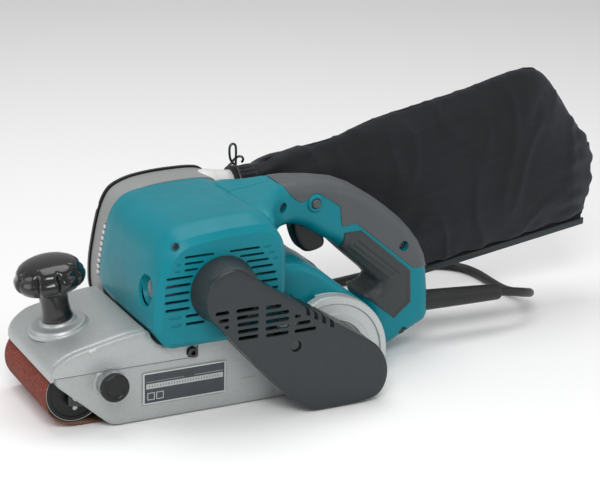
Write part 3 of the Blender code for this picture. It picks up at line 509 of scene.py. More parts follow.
# =================================================================== materials
class Nodes:
    """Short names for building a node material in object space (metres)."""

    def __init__(self, name):
        self.mat = bpy.data.materials.new(name)
        self.mat.use_nodes = True
        self.tree = self.mat.node_tree
        self.shader = self.tree.nodes["Principled BSDF"]
        self.place = self.tree.nodes.new("ShaderNodeTexCoord").outputs["Object"]

    def add(self, kind, **inputs):
        node = self.tree.nodes.new(kind)
        for key, value in inputs.items():
            if hasattr(value, "is_linked") and hasattr(value, "links"):
                self.tree.links.new(value, node.inputs[key])
            elif key in node.inputs:
                node.inputs[key].default_value = value
            else:
                setattr(node, key, value)
        return node

    def link(self, a, b):
        self.tree.links.new(a, b)

    def noise(self, scale, detail=3.0, rough=0.55, place=None):
        n = self.add("ShaderNodeTexNoise")
        n.inputs["Scale"].default_value = scale
        n.inputs["Detail"].default_value = detail
        n.inputs["Roughness"].default_value = rough
        self.link(place or self.place, n.inputs["Vector"])
        return n.outputs["Fac"]

    def voronoi(self, scale, feature="F1", place=None):
        n = self.add("ShaderNodeTexVoronoi")
        n.feature = feature
        n.inputs["Scale"].default_value = scale
        self.link(place or self.place, n.inputs["Vector"])
        return n

    def ramp(self, fac, stops):
        n = self.add("ShaderNodeValToRGB")
        while len(n.color_ramp.elements) < len(stops):
            n.color_ramp.elements.new(0.5)
        for element, (pos, colour) in zip(n.color_ramp.elements, stops):
            element.position = pos
            element.color = colour if len(colour) == 4 else (*colour, 1.0)
        self.link(fac, n.inputs["Fac"])
        return n.outputs["Color"]

    def span(self, value, a, b, c, d):
        n = self.add("ShaderNodeMapRange")
        n.clamp = True
        for key, v in zip(("From Min", "From Max", "To Min", "To Max"), (a, b, c, d)):
            n.inputs[key].default_value = v
        self.link(value, n.inputs["Value"])
        return n.outputs["Result"]

    def math(self, how, a, b=0.0, c=0.0):
        n = self.add("ShaderNodeMath")
        n.operation = how
        for i, v in enumerate((a, b, c)):
            if hasattr(v, "links"):
                self.link(v, n.inputs[i])
            else:
                n.inputs[i].default_value = v
        return n.outputs["Value"]

    def axes(self, place=None):
        n = self.add("ShaderNodeSeparateXYZ")
        self.link(place or self.place, n.inputs[0])
        return n.outputs[0], n.outputs[1], n.outputs[2]

    def stretched(self, scale, rotate=(0, 0, 0)):
        n = self.add("ShaderNodeMapping")
        n.inputs["Scale"].default_value = scale
        n.inputs["Rotation"].default_value = rotate
        self.link(self.place, n.inputs["Vector"])
        return n.outputs["Vector"]

    def mix(self, fac, a, b, how="MIX"):
        n = self.add("ShaderNodeMix")
        n.data_type = "RGBA"
        n.blend_type = how
        if hasattr(fac, "links"):
            self.link(fac, n.inputs[0])
        else:
            n.inputs[0].default_value = fac
        for slot_index, v in ((6, a), (7, b)):
            if hasattr(v, "links"):
                self.link(v, n.inputs[slot_index])
            else:
                n.inputs[slot_index].default_value = v if len(v) == 4 else (*v, 1.0)
        return n.outputs[2]

    def bump(self, height, strength=0.2, distance=0.0003, below=None):
        n = self.add("ShaderNodeBump")
        n.inputs["Strength"].default_value = strength
        n.inputs["Distance"].default_value = distance
        self.link(height, n.inputs["Height"])
        if below is not None:
            self.link(below, n.inputs["Normal"])
        return n.outputs["Normal"]

    def done(self, colour, rough, normal=None, metal=0.0, **more):
        sh = self.shader
        for key, v in (("Base Color", colour), ("Roughness", rough), ("Metallic", metal)):
            if hasattr(v, "links"):
                self.link(v, sh.inputs[key])
            else:
                sh.inputs[key].default_value = v if not isinstance(v, tuple) else (*v[:3], 1.0)
        if normal is not None:
            self.link(normal, sh.inputs["Normal"])
        for key, v in more.items():
            key = key.replace("_", " ")
            if key in sh.inputs:
                sh.inputs[key].default_value = v if not isinstance(v, tuple) else (*v[:3], 1.0)
        return self.mat


def tint(rgb, k):
    return tuple(min(1.0, c * k) for c in rgb)


def moulded(name, rgb, rough=0.42, grain=1600.0, depth=0.00006, strength=0.35, wear=0.10, speck=0.05, coat=0.0, shine=0.36):
    """Moulded plastic: fine eroded grain, slow tone drift, rubbed and dusty areas, a few hairline scratches."""
    n = Nodes(name)
    slow = n.noise(14.0, 4.0, 0.6)
    cloud = n.noise(90.0, 5.0, 0.65)
    fine = n.noise(grain, 2.0, 0.5)
    pits = n.voronoi(grain * 0.7).outputs["Distance"]
    colour = n.ramp(slow, [(0.25, tint(rgb, 0.90)), (0.55, rgb), (0.85, tint(rgb, 1.10))])
    colour = n.mix(n.span(cloud, 0.56, 0.80, 0.0, wear), colour, tuple(min(1, c * 0.8 + 0.10) for c in rgb))
    colour = n.mix(n.span(fine, 0.3, 0.8, 0.0, speck), colour, tint(rgb, 0.55))
    scratch = n.noise(60.0, 2.0, 0.4, n.stretched((1.0, 1.0, 26.0), (0.5, 0.3, 0.2)))
    lines = n.span(scratch, 0.71, 0.74, 0.0, 1.0)
    roughness = n.math("ADD", n.span(cloud, 0.25, 0.8, rough - 0.06, rough + 0.08), n.math("MULTIPLY", lines, 0.07))
    height = n.math("ADD", n.math("MULTIPLY", fine, 0.6), n.math("MULTIPLY", pits, 0.5))
    normal = n.bump(height, strength, depth)
    normal = n.bump(n.noise(35.0, 2.0), 0.05, 0.0006, normal)
    return n.done(colour, roughness, normal, 0.0, Coat_Weight=coat, Coat_Roughness=0.12, Specular_IOR_Level=shine)


def cast_alloy(name, rgb=(0.42, 0.445, 0.442), rough=0.46, metal=0.55):
    """Painted aluminium casting: orange peel, sand texture, flakes, darker in hollows of the noise."""
    n = Nodes(name)
    slow = n.noise(9.0, 4.0, 0.6)
    mid = n.noise(70.0, 5.0, 0.6)
    sand = n.noise(750.0, 3.0, 0.6)
    flake = n.voronoi(2600.0).outputs["Color"]
    colour = n.ramp(slow, [(0.25, tint(rgb, 0.93)), (0.6, rgb), (0.9, tint(rgb, 1.08))])
    colour = n.mix(n.span(mid, 0.55, 0.8, 0.0, 0.16), colour, tint(rgb, 0.72))
    sep = n.add("ShaderNodeSeparateColor")
    n.link(flake, sep.inputs[0])
    colour = n.mix(n.span(sep.outputs[0], 0.82, 1.0, 0.0, 0.35), colour, tint(rgb, 1.8))
    # painted highlight: the round end over the rear roller is painted brighter than the walls
    x, y, z = n.axes()
    dx, dz = n.math("SUBTRACT", x, (SPACING - MIDDLE) * MM), n.math("SUBTRACT", z, ROLL_Z * MM)
    away = n.math("SQRT", n.math("ADD", n.math("MULTIPLY", dx, dx), n.math("MULTIPLY", dz, dz)))
    colour = n.mix(n.span(away, 0.0532, 0.0556, 0.85, 0.0), colour, tint(rgb, 1.38))
    roughness = n.span(sand, 0.2, 0.8, rough - 0.08, rough + 0.12)
    normal = n.bump(sand, 0.16, 0.00012)
    normal = n.bump(mid, 0.06, 0.0005, normal)
    return n.done(colour, roughness, normal, metal)


def machined(name, rgb=(0.56, 0.56, 0.57), rough=0.28, metal=1.0, direction=(1.0, 60.0, 1.0)):
    n = Nodes(name)
    turned_marks = n.noise(260.0, 3.0, 0.6, n.stretched(direction))
    grime = n.noise(120.0, 4.0, 0.6)
    colour = n.mix(n.span(grime, 0.5, 0.8, 0.0, 0.35), rgb, tint(rgb, 0.55))
    roughness = n.span(turned_marks, 0.2, 0.8, rough - 0.06, rough + 0.14)
    normal = n.bump(turned_marks, 0.10, 0.00008)
    return n.done(colour, roughness, normal, metal)


def rubber(name, rgb=(0.112, 0.117, 0.12), rough=0.56, grain=1150.0, strength=0.3):
    n = Nodes(name)
    slow = n.noise(20.0, 4.0, 0.6)
    fine = n.noise(grain, 3.0, 0.6)
    dust = n.noise(220.0, 6.0, 0.7)
    colour = n.ramp(slow, [(0.2, tint(rgb, 0.86)), (0.6, rgb), (0.9, tint(rgb, 1.14))])
    colour = n.mix(n.span(dust, 0.58, 0.78, 0.0, 0.14), colour, (0.30, 0.30, 0.29))
    roughness = n.span(dust, 0.25, 0.8, rough - 0.06, rough + 0.12)
    cells = n.voronoi(grain * 0.8, "SMOOTH_F1").outputs["Distance"]
    normal = n.bump(n.math("ADD", fine, n.math("MULTIPLY", cells, 0.8)), strength, 0.00007)
    return n.done(colour, roughness, normal, 0.0, Specular_IOR_Level=0.42, Sheen_Weight=0.05)


def abrasive():
    """Closed-coat grit: dense red-brown grains on cloth whose colour varies, the lightest painted as glints off their
    facets, the cloth's seams faint below.
    """
    n = Nodes("abrasive_grit")
    grains = n.voronoi(1500.0)
    big = n.voronoi(620.0)
    slow = n.noise(26.0, 5.0, 0.6)
    sep = n.add("ShaderNodeSeparateColor")
    n.link(grains.outputs["Color"], sep.inputs[0])
    # grain colour varies at random; the top of the ramp is a painted glint off the grain facets
    base = n.ramp(sep.outputs[0], [(0.0, (0.085, 0.015, 0.010)), (0.5, (0.195, 0.036, 0.024)), (0.92, (0.27, 0.062, 0.042)), (1.0, (0.42, 0.16, 0.12))])
    base = n.mix(n.span(slow, 0.45, 0.75, 0.0, 0.35), base, (0.26, 0.075, 0.052))
    grooves = n.noise(55.0, 3.0, 0.5, n.stretched((1.0, 30.0, 1.0)))
    base = n.mix(n.span(grooves, 0.60, 0.78, 0.0, 0.25), base, (0.30, 0.13, 0.095))
    height = n.math("ADD", grains.outputs["Distance"], n.math("MULTIPLY", big.outputs["Distance"], 0.6))
    return n.done(base, 0.82, n.bump(height, 0.9, 0.00035), 0.0, Specular_IOR_Level=0.3)


def belt_backing():
    n = Nodes("belt_backing_cloth")
    x, y, z = n.axes()
    warp = n.math("SINE", n.math("MULTIPLY", y, 5200.0))
    weft = n.math("SINE", n.math("MULTIPLY", n.math("ADD", x, z), 5200.0))
    weave = n.math("MULTIPLY", warp, weft)
    colour = n.ramp(n.span(weave, -1, 1, 0, 1), [(0.2, (0.15, 0.085, 0.045)), (0.8, (0.27, 0.17, 0.10))])
    return n.done(colour, 0.9, n.bump(weave, 0.3, 0.0001))


def bag_cloth(name="bag_weave", rgb=(0.0125, 0.0130, 0.0160)):
    """Tight plain-woven polyester: yarns crossing, slubs, soft sheen, lint and creases that catch light."""
    n = Nodes(name)
    wobble = n.noise(55.0, 3.0, 0.5)
    x, y, z = n.axes()
    u = n.math("ADD", n.math("MULTIPLY", x, 0.985), n.math("MULTIPLY", z, 0.17))
    v = n.math("ADD", n.math("MULTIPLY", z, 0.985), n.math("MULTIPLY", x, -0.17))
    drift = n.math("MULTIPLY", wobble, 0.0016)
    pitch = 2 * math.pi / 0.00085
    warp = n.math("SINE", n.math("MULTIPLY", n.math("ADD", u, drift), pitch))
    weft = n.math("SINE", n.math("MULTIPLY", n.math("ADD", v, drift), pitch))
    weave = n.math("ADD", n.math("MULTIPLY", warp, weft), n.math("MULTIPLY", n.math("ADD", warp, weft), 0.35))
    slub = n.noise(240.0, 3.0, 0.6, n.stretched((0.12, 1.0, 1.0)))
    slub2 = n.noise(240.0, 3.0, 0.6, n.stretched((1.0, 1.0, 0.12)))
    fade = n.noise(16.0, 4.0, 0.6)
    colour = n.ramp(n.span(weave, -1.2, 1.2, 0, 1), [(0.15, tint(rgb, 0.45)), (0.6, rgb), (1.0, tint(rgb, 1.38))])
    colour = n.mix(n.span(slub, 0.58, 0.80, 0.0, 0.55), colour, tint(rgb, 2.3))
    colour = n.mix(n.span(slub2, 0.60, 0.80, 0.0, 0.40), colour, tint(rgb, 0.4))
    colour = n.mix(n.span(fade, 0.4, 0.8, 0.0, 0.40), colour, tint(rgb, 1.6))
    lint = n.voronoi(160.0).outputs["Distance"]
    colour = n.mix(n.span(lint, 0.0, 0.022, 0.5, 0.0), colour, (0.20, 0.20, 0.20))
    normal = n.bump(weave, 0.45, 0.00016)
    normal = n.bump(n.noise(120.0, 4.0, 0.55), 0.25, 0.0011, normal)
    return n.done(colour, n.span(slub, 0.3, 0.8, 0.78, 0.94), normal, 0.0, Sheen_Weight=0.28, Sheen_Roughness=0.45, Sheen_Tint=(0.55, 0.58, 0.66),
                  Specular_IOR_Level=0.28)


def copper_windings():
    n = Nodes("copper_windings")
    x, y, z = n.axes()
    wires = n.math("SINE", n.math("MULTIPLY", y, 9000.0))
    tone = n.noise(60.0, 3.0)
    colour = n.ramp(tone, [(0.2, (0.38, 0.13, 0.05)), (0.8, (0.66, 0.27, 0.12))])
    return n.done(colour, 0.32, n.bump(wires, 0.5, 0.0002), 1.0)


def laminated():
    n = Nodes("laminated_steel")
    x, y, z = n.axes()
    sheets = n.math("SINE", n.math("MULTIPLY", y, 12000.0))
    tone = n.noise(90.0, 4.0)
    colour = n.ramp(tone, [(0.2, (0.16, 0.155, 0.15)), (0.8, (0.30, 0.29, 0.28))])
    return n.done(colour, 0.4, n.bump(sheets, 0.4, 0.0002), 0.9)


def plate_print():
    """Rating plate: dark satin film, a silver border line and plain pale bands; no lettering."""
    n = Nodes("plate_print")
    x, y, z = n.axes()
    u = n.math("MULTIPLY", n.math("SUBTRACT", x, (51.8 - MIDDLE) * MM), 1000.0)
    v = n.math("MULTIPLY", n.math("SUBTRACT", z, 15.1 * MM), 1000.0)

    def patch(u0, u1, v0, v1):
        a = n.math("MULTIPLY", n.math("GREATER_THAN", u, u0), n.math("LESS_THAN", u, u1))
        b = n.math("MULTIPLY", n.math("GREATER_THAN", v, v0), n.math("LESS_THAN", v, v1))
        return n.math("MULTIPLY", a, b)
    film = n.ramp(n.noise(120.0, 3.0), [(0.3, (0.040, 0.048, 0.056)), (0.8, (0.055, 0.064, 0.074))])
    pale = (0.50, 0.52, 0.52)
    edge = n.math("SUBTRACT", 1.0, patch(1.1, 71.8, 1.1, 26.3))
    colour = n.mix(edge, film, (0.55, 0.57, 0.57))
    for box, k in (((2.6, 70.6, 13.4, 17.8), 0.85), ((45, 70.5, 19.2, 19.8), 0.5), ((2.6, 36, 19.2, 19.8), 0.4),
                   ((3.4, 9.6, 4.4, 5.2), 0.0)):
        colour = n.mix(n.math("MULTIPLY", patch(*box), k), colour, pale)
    # a plain row of ticks inside the band and two empty outlined squares
    ticks = n.math("GREATER_THAN", n.math("SINE", n.math("MULTIPLY", u, 2.6)), 0.55)
    colour = n.mix(n.math("MULTIPLY", n.math("MULTIPLY", patch(4.0, 68.0, 14.7, 16.5), ticks), 0.8), colour, (0.05, 0.06, 0.07))
    for u0 in (3.6, 11.4):
        frame_line = n.math("SUBTRACT", patch(u0, u0 + 6.4, 3.6, 10.0), patch(u0 + 0.6, u0 + 5.8, 4.2, 9.4))
        colour = n.mix(n.math("MAXIMUM", frame_line, 0.0), colour, pale)
    return n.done(colour, n.span(n.noise(300.0), 0.2, 0.8, 0.30, 0.42), n.bump(n.noise(900.0), 0.05, 0.00005), 0.15)


def fan_plastic():
    return moulded("fan_plastic", (0.60, 0.60, 0.57), 0.45, 900.0)


TEAL = moulded("teal_plastic", (0.0005, 0.200, 0.252), 0.38, 1500.0, 0.00005, 0.30, 0.045, 0.05, shine=0.25)
# a darker copy of the teal plastic: painted shade for the bearing seat and the screw wells
TEAL_PAINTED_SHADE = moulded("teal_plastic_deep", (0.0010, 0.13, 0.17), 0.42, 1500.0, 0.00005, 0.30, 0.10, 0.05)
COVER_MAT = moulded("cover_plastic", (0.027, 0.034, 0.037), 0.36, 1300.0, 0.00007, 0.4, 0.08, 0.10)
CAST = cast_alloy("cast_alloy")
# brighter copy of the cast alloy: a painted highlight for the lit rear round end
CAST_PAINTED_HIGHLIGHT = cast_alloy("cast_alloy_bright", (0.56, 0.585, 0.582), 0.40, 0.4)
CAST_LIGHT = cast_alloy("cast_alloy_light", (0.45, 0.472, 0.470), 0.43, 0.5)
GREY = moulded("grey_casing", (0.27, 0.28, 0.275), 0.42, 1100.0, 0.00006, 0.35, 0.12, 0.05)
PALE = moulded("pale_plastic", (0.66, 0.66, 0.645), 0.38, 1200.0, 0.00005, 0.25, 0.08, 0.03)
BLACK = moulded("black_plastic", (0.0085, 0.009, 0.0096), 0.36, 1400.0, 0.00006, 0.35, 0.05, 0.1)
GLOSS = moulded("gloss_black", (0.0075, 0.0078, 0.0082), 0.20, 600.0, 0.00003, 0.12, 0.02, 0.02, 0.55)
GRIP = rubber("grip_rubber", (0.078, 0.086, 0.092), 0.46)
GRIP_DARK = rubber("grip_rubber_side", (0.036, 0.044, 0.046), 0.48)
CORD_MAT = rubber("cord_rubber", (0.0125, 0.013, 0.0135), 0.46, 900.0, 0.2)
PLUG_MAT = rubber("plug_rubber", (0.014, 0.0145, 0.015), 0.40, 1000.0, 0.2)
STEEL = machined("machined_steel")
DARK_STEEL = machined("dark_steel", (0.075, 0.075, 0.078), 0.32)
BRASS = machined("knurled_ring", (0.42, 0.40, 0.36), 0.34)
ALLOY = machined("roller_alloy", (0.50, 0.51, 0.52), 0.34)
LAMINATED = laminated()
COPPER = copper_windings()
CORK = moulded("cork_pad", (0.30, 0.17, 0.085), 0.85, 700.0, 0.0003, 0.8, 0.2, 0.3)
GRIT = abrasive()
BACKING = belt_backing()
CLOTH = bag_cloth()
PLATE_MAT = plate_print()
FAN = fan_plastic()
ROLLER_RUBBER = rubber("roller_rubber", (0.03, 0.03, 0.031), 0.6)
VBELT = rubber("drive_belt_rubber", (0.014, 0.014, 0.015), 0.55)


def dress(ob, material, body="root", replaces=(), sharp=38.0):
    ob.data.materials.clear()
    ob.data.materials.append(material)
    if ob.type == "MESH":
        ob.data.shade_smooth()
        ob.data.set_sharp_from_angle(angle=math.radians(sharp))
    if replaces:
        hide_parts(*replaces)
    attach(ob, body)
    return ob


# =================================================================== outlines
HOUSING = [(68.5, 64.5), (60.5, 76.5), (58.3, 82), (60, 100), (63.5, 122), (67.5, 141), (73, 152), (82, 159.5), (95, 162.5),
           (118, 164.5), (150, 165.3), (162, 162), (169.5, 152), (172.8, 138), (173, 104), (172, 80), (166, 70), (158, 64.5)]
REAR_DECK = [(173.5, 111), (182, 112.5), (201, 110.5), (220, 101.5), (236, 88.5), (250, 76.5), (262, 67.5), (272, 57.5),
             (279, 46), (283, 34), (283.4, 22), (281, 10), (277.5, 5)]
COVER = [(93, 98), (91, 108.5), (92, 118), (95, 126), (101, 131), (108, 134.3), (115.5, 135), (124, 131), (134, 124),
         (145.5, 116), (175.5, 96), (204.5, 78), (238.5, 56), (246.5, 50.5), (253.5, 40), (257, 28), (255.5, 16), (251, 8),
         (244, 3.5), (231, 2), (205, 2), (188, 2), (180, 5), (168.5, 14.5), (162.5, 20), (131.5, 54), (116.5, 72), (101.5, 89)]
FAN_CASE = [(66, 58), (61.5, 66), (60, 76), (60.5, 95), (65, 120), (69, 137), (74, 149), (80, 156.5), (92, 161.5), (105, 164),
            (124, 165.5), (150, 165.5), (163, 163.5), (171.5, 154), (177, 134), (188, 113), (200, 98.5), (212, 88.5),
            (228, 83.5), (243, 81.5), (257, 74.5), (266, 66), (270, 58)]
HANDLE_TOP = [(173.4, 165.5), (192, 169.8), (210, 170.3), (233, 168), (256, 163.5), (272, 156.5), (285, 148), (298, 138),
              (312, 126), (322, 115), (331, 103), (337.5, 90), (341, 75)]
HANDLE_REAR = [(343, 56), (343.8, 34), (340.5, 27.5), (301, 8.6), (285.5, 8.2)]
HANDLE_IN = [(286.3, 22), (285.6, 36), (281.5, 48), (277.6, 56.5), (276.4, 60.0), (279.6, 62.6), (284, 63.4), (290, 66), (292.5, 71),
             (286, 78), (276, 87), (266, 96), (255, 106.5), (247, 113.5), (238, 118), (229, 123.5), (218, 131), (206, 134.5),
             (195, 133.2), (187, 129.5), (180, 121.5), (173.4, 116.5)]
HANDLE = HANDLE_TOP + HANDLE_REAR + HANDLE_IN
GRIP_LOW = [(254.5, 122.5), (271, 122.5), (320.5, 79.5), (322, 50), (306, 37), (287.5, 53), (295.5, 64), (297, 74), (289, 82),
            (278, 91), (268, 100), (257.5, 110), (253.5, 113.5)]
RAIL_SLOPE = 0.152


def edge_line(x):
    return 47.0 + (x - 384.0) * RAIL_SLOPE


# =================================================================== lead, first: guard, free run, coil, plug
GUARD_END = (428.7, 0.0, 36.1)
TURN_R, RUN_BACK_Y, CORD_Z = 43.0, 166.0, 4.3


def cord_knots():
    """The lead's free run: straight out of the guard and down to the floor, a quarter turn, across, a quarter turn, and back towards the coil."""
    lead_out, quarter, across, fall, dip = 10.0, TURN_R * math.pi / 2, RUN_BACK_Y - 2 * TURN_R, 120.0, -0.10
    knots = []
    for k in range(15):
        s = 17.0 * k
        t = min(1.0, s / fall)
        z = (2 * t**3 - 3 * t**2 + 1) * GUARD_END[2] + (t**3 - 2 * t**2 + t) * fall * dip + (3 * t**2 - 2 * t**3) * CORD_Z
        x, y = GUARD_END[0] + min(s, lead_out), 0.0
        first = min(max(s - lead_out, 0.0), quarter) / TURN_R
        second = min(max(s - lead_out - quarter - across, 0.0), quarter) / TURN_R
        x += TURN_R * math.sin(first) - TURN_R * (1 - math.cos(second))
        y += TURN_R * (1 - math.cos(first)) + min(max(s - lead_out - quarter, 0.0), across) + TURN_R * math.sin(second)
        x -= max(s - lead_out - 2 * quarter - across, 0.0)
        knots.append((x, y, z))
    return knots + [(400, 165, CORD_Z), (370, 160.5, CORD_Z), (335, 154.5, CORD_Z), (303, 153, CORD_Z), (275, 159, CORD_Z), (248.2, 173.3, CORD_Z)]


CORD_KNOTS = cord_knots()
COIL_AT = (190.0, 152.0)
PLUG_AT = Vector((100.8, 139.0, 15.6))
PIN_DIR = Vector((-0.70, -0.714, 0)).normalized()
PIN_SIDE = Vector((0.714, -0.70, 0)).normalized()


def lead_points():
    """Free run, seven passes wound three across and three high, and the short tail to the plug."""
    free = smooth_route(CORD_KNOTS[:-1] + [(250.5, 172.0, 4.4), (228.1, 190.1, 4.4)], 17.0)[:-1]
    slots = [(53.9, 4.4), (45.5, 4.4), (37.1, 4.4), (37.1, 12.7), (45.5, 12.7), (53.9, 12.7), (53.9, 20.9)]
    coil = []
    start, per = 45.0, 18
    total = int(round((6 + 90.6 / 360.0) * per))
    for k in range(total + 1):
        turn = k * (90.6 + 2160.0) / total
        number, part = int(turn // 360.0), (turn % 360.0)
        r0, z0 = slots[min(number, 6)]
        r1, z1 = slots[min(number + 1, 6)]
        t = float(smooth(np.array((part - 292.0) / 66.0)))
        r = r0 + (r1 - r0) * t
        if abs(z1 - z0) > 1 and abs(r1 - r0) < 1:
            r += (-1.5 if r0 < 40 else 1.5) * math.sin(math.pi * t)
        z = z0 + (z1 - z0) * t
        a = math.radians(start + turn)
        coil.append((COIL_AT[0] + r * math.cos(a), COIL_AT[1] + r * math.sin(a), z))
    end = PLUG_AT - PIN_DIR * 36.0
    last = Vector(coil[-1])
    tail = [tuple(last + (Vector(end) - last) * t - Vector((0, 0, 0.0))) for t in (0.5, 1.0)]
    return free + coil + tail


def make_lead():
    pts = lead_points()
    curve = bpy.data.curves.new("mains_lead", "CURVE")
    curve.dimensions = "3D"
    curve.bevel_depth = CORD_R * MM
    curve.bevel_resolution = 5
    curve.resolution_u = 5
    curve.use_fill_caps = True
    spline = curve.splines.new("BEZIER")
    spline.bezier_points.add(len(pts) - 1)
    for point, p in zip(spline.bezier_points, pts):
        point.co = at(*p)
        point.handle_left_type = point.handle_right_type = "AUTO"
    ob = bpy.data.objects.new("mains_lead", curve)
    SCENE.collection.objects.link(ob)
    curve.materials.append(CORD_MAT)
    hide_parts("power_cord", "cord_coil")
    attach(ob, "root")
    bpy.context.view_layer.update()
    dense = smooth_route(pts, 4.0)
    length = sum(math.dist(a, b) for a, b in zip(dense, dense[1:])) * MM

    # plug: overmoulded body with finger ridges, a face plate and two round pins
    def ridge(r, h, a):
        wave = 0.0
        if -34 < h < -8:
            side = abs(math.cos(a))
            wave = -0.9 * (0.5 - 0.5 * math.cos(2 * math.pi * (h + 8) / 4.3)) * (1 if side > 0.55 else 0)
        return r * (1.0 if h > -14 else 1.0) + wave
    profile = [(0, 0), (12.0, 0), (12.9, -0.3), (13.6, -1.2), (14.6, -2.4), (15.0, -3.6), (15.0, -8)]
    profile += [(15.0 - 8.0 * smooth(np.array((k / 26.0))), -8.0 - k) for k in range(1, 27)] + [(7.0, -36.5), (6.4, -37.6), (5.0, -38), (0, -38)]
    profile = [(float(r), float(h)) for r, h in profile]
    plug = lathe("mains_plug", profile, tuple(PLUG_AT), PIN_DIR, 48, False, ridge)
    dress(plug, PLUG_MAT, "root", ("power_plug",))
    pins = []
    for k, s in enumerate((-1, 1)):
        base = PLUG_AT + PIN_SIDE * 9.5 * s
        sleeve = lathe("plug_pin_sleeve_%d" % (k + 1), [(0, 10), (2.3, 10), (2.4, 9.6), (2.4, -1), (0, -1)], tuple(base), PIN_DIR, 20)
        tip = lathe("plug_pin_%d" % (k + 1), [(0, 19), (1.3, 18.9), (2.0, 18.2), (2.25, 17.0), (2.25, 9.0), (0, 9.0)], tuple(base), PIN_DIR, 20)
        dress(sleeve, PLUG_MAT, "root")
        dress(tip, BRASS, "root")
        pins += [sleeve, tip]
    tie = []
    for k in range(29):
        a = 2 * math.pi * k / 28.0
        ca, sa = math.cos(a), math.sin(a)
        tie.append((15.2 * (abs(ca) ** 0.35) * (1 if ca > 0 else -1), 14.2 * (abs(sa) ** 0.35) * (1 if sa > 0 else -1)))
    # cable tie round the bundle, on the far side
    where = math.radians(-110.0)
    radial = Vector((math.cos(where), math.sin(where), 0))
    along = Vector((-math.sin(where), math.cos(where), 0))
    centre = Vector((COIL_AT[0], COIL_AT[1], 8.9)) + radial * 45.5
    verts, faces = [], []
    for k in range(28):
        u, v = tie[k]
        for w in (-2.2, 2.2):
            for grow_by in (0.0, 1.1):
                scale = 1.0 + grow_by / 14.0
                p = centre + radial * (u * scale * 0.86) + Vector((0, 0, 1)) * (v * scale * 0.6) + along * w
                verts.append((p.x, p.y, max(0.15, p.z)))
    for k in range(28):
        a, b = 4 * k, 4 * ((k + 1) % 28)
        faces += [(a, b, b + 1, a + 1), (a + 2, a + 3, b + 3, b + 2), (a + 1, b + 1, b + 3, a + 3), (a, a + 2, b + 2, b)]
    band = cleaned(mesh_object("cord_tie", verts, faces), 0)
    dress(band, BLACK, "root")
    return length


LEAD_LENGTH = make_lead()
print("lead length", round(LEAD_LENGTH, 3))

# guard: a long tapered boot with a collar
def guard_profile():
    top = [(0, 0), (4.6, 0), (6.2, -0.4), (6.9, -1.3), (7.3, -3.0)]
    body = []
    for k in range(0, 40):
        h = -3.0 - k * 2.0
        r = 7.3 + (9.5 - 7.3) * (k / 40.0) ** 0.9
        body.append((r, h))
    end = [(9.6, -84.0), (5.8, -84.2), (5.8, -91.0), (0, -91.0)]
    return top + body + end


dress(lathe("cord_boot", guard_profile(), (428.0, 0, 36.2), (84.0, 0, -3.6), 40), CORD_MAT, "root", ("cord_guard",))


# =================================================================== front knob
def knob_flute(r, h, a):
    high = float(smooth(np.array((h - 33.5) / 4.0)) * smooth(np.array((57.5 - h) / 7.0)))
    out = max(0.0, min(1.0, (r - 14.0) / 12.0))
    groove = max(0.0, 1.0 - abs(math.sin(4.5 * a)) / 0.55)
    return r * (1.0 - 0.10 * groove ** 1.1 * high * out)


def make_knob():
    dome = []
    for k in range(0, 13):
        t = k / 12.0 * math.pi / 2
        dome.append((26.6 * math.sin(t) ** 0.92, 47.6 + 11.0 * math.cos(t) ** 0.9))
    rim = [(28.4, 45.6), (29.4, 43.4), (29.5, 41.4), (29.0, 39.2), (27.8, 37.0), (25.8, 35.2), (22.5, 33.6), (18.5, 32.4), (15.0, 31.4),
           (13.4, 30.0), (12.4, 27.6), (11.9, 24), (11.7, 18), (12.0, 12.0), (12.7, 8.5), (13.3, 6.9), (13.2, 6.1), (4.4, 6.1), (4.4, 44.0), (0, 44.0)]
    ob = lathe("knob_front", [(float(r), float(h)) for r, h in dome + rim], on_knob(0), LEAN, 160, False, knob_flute)
    dress(ob, GLOSS, "root", ("front_knob",), 50.0)


make_knob()


# =================================================================== drive belt cover
def rounded_slots(items, r=None):
    out = []
    for x0, x1, z, h in items:
        out.append(stadium(x0, x1, z, h if r is None else r))
    return out


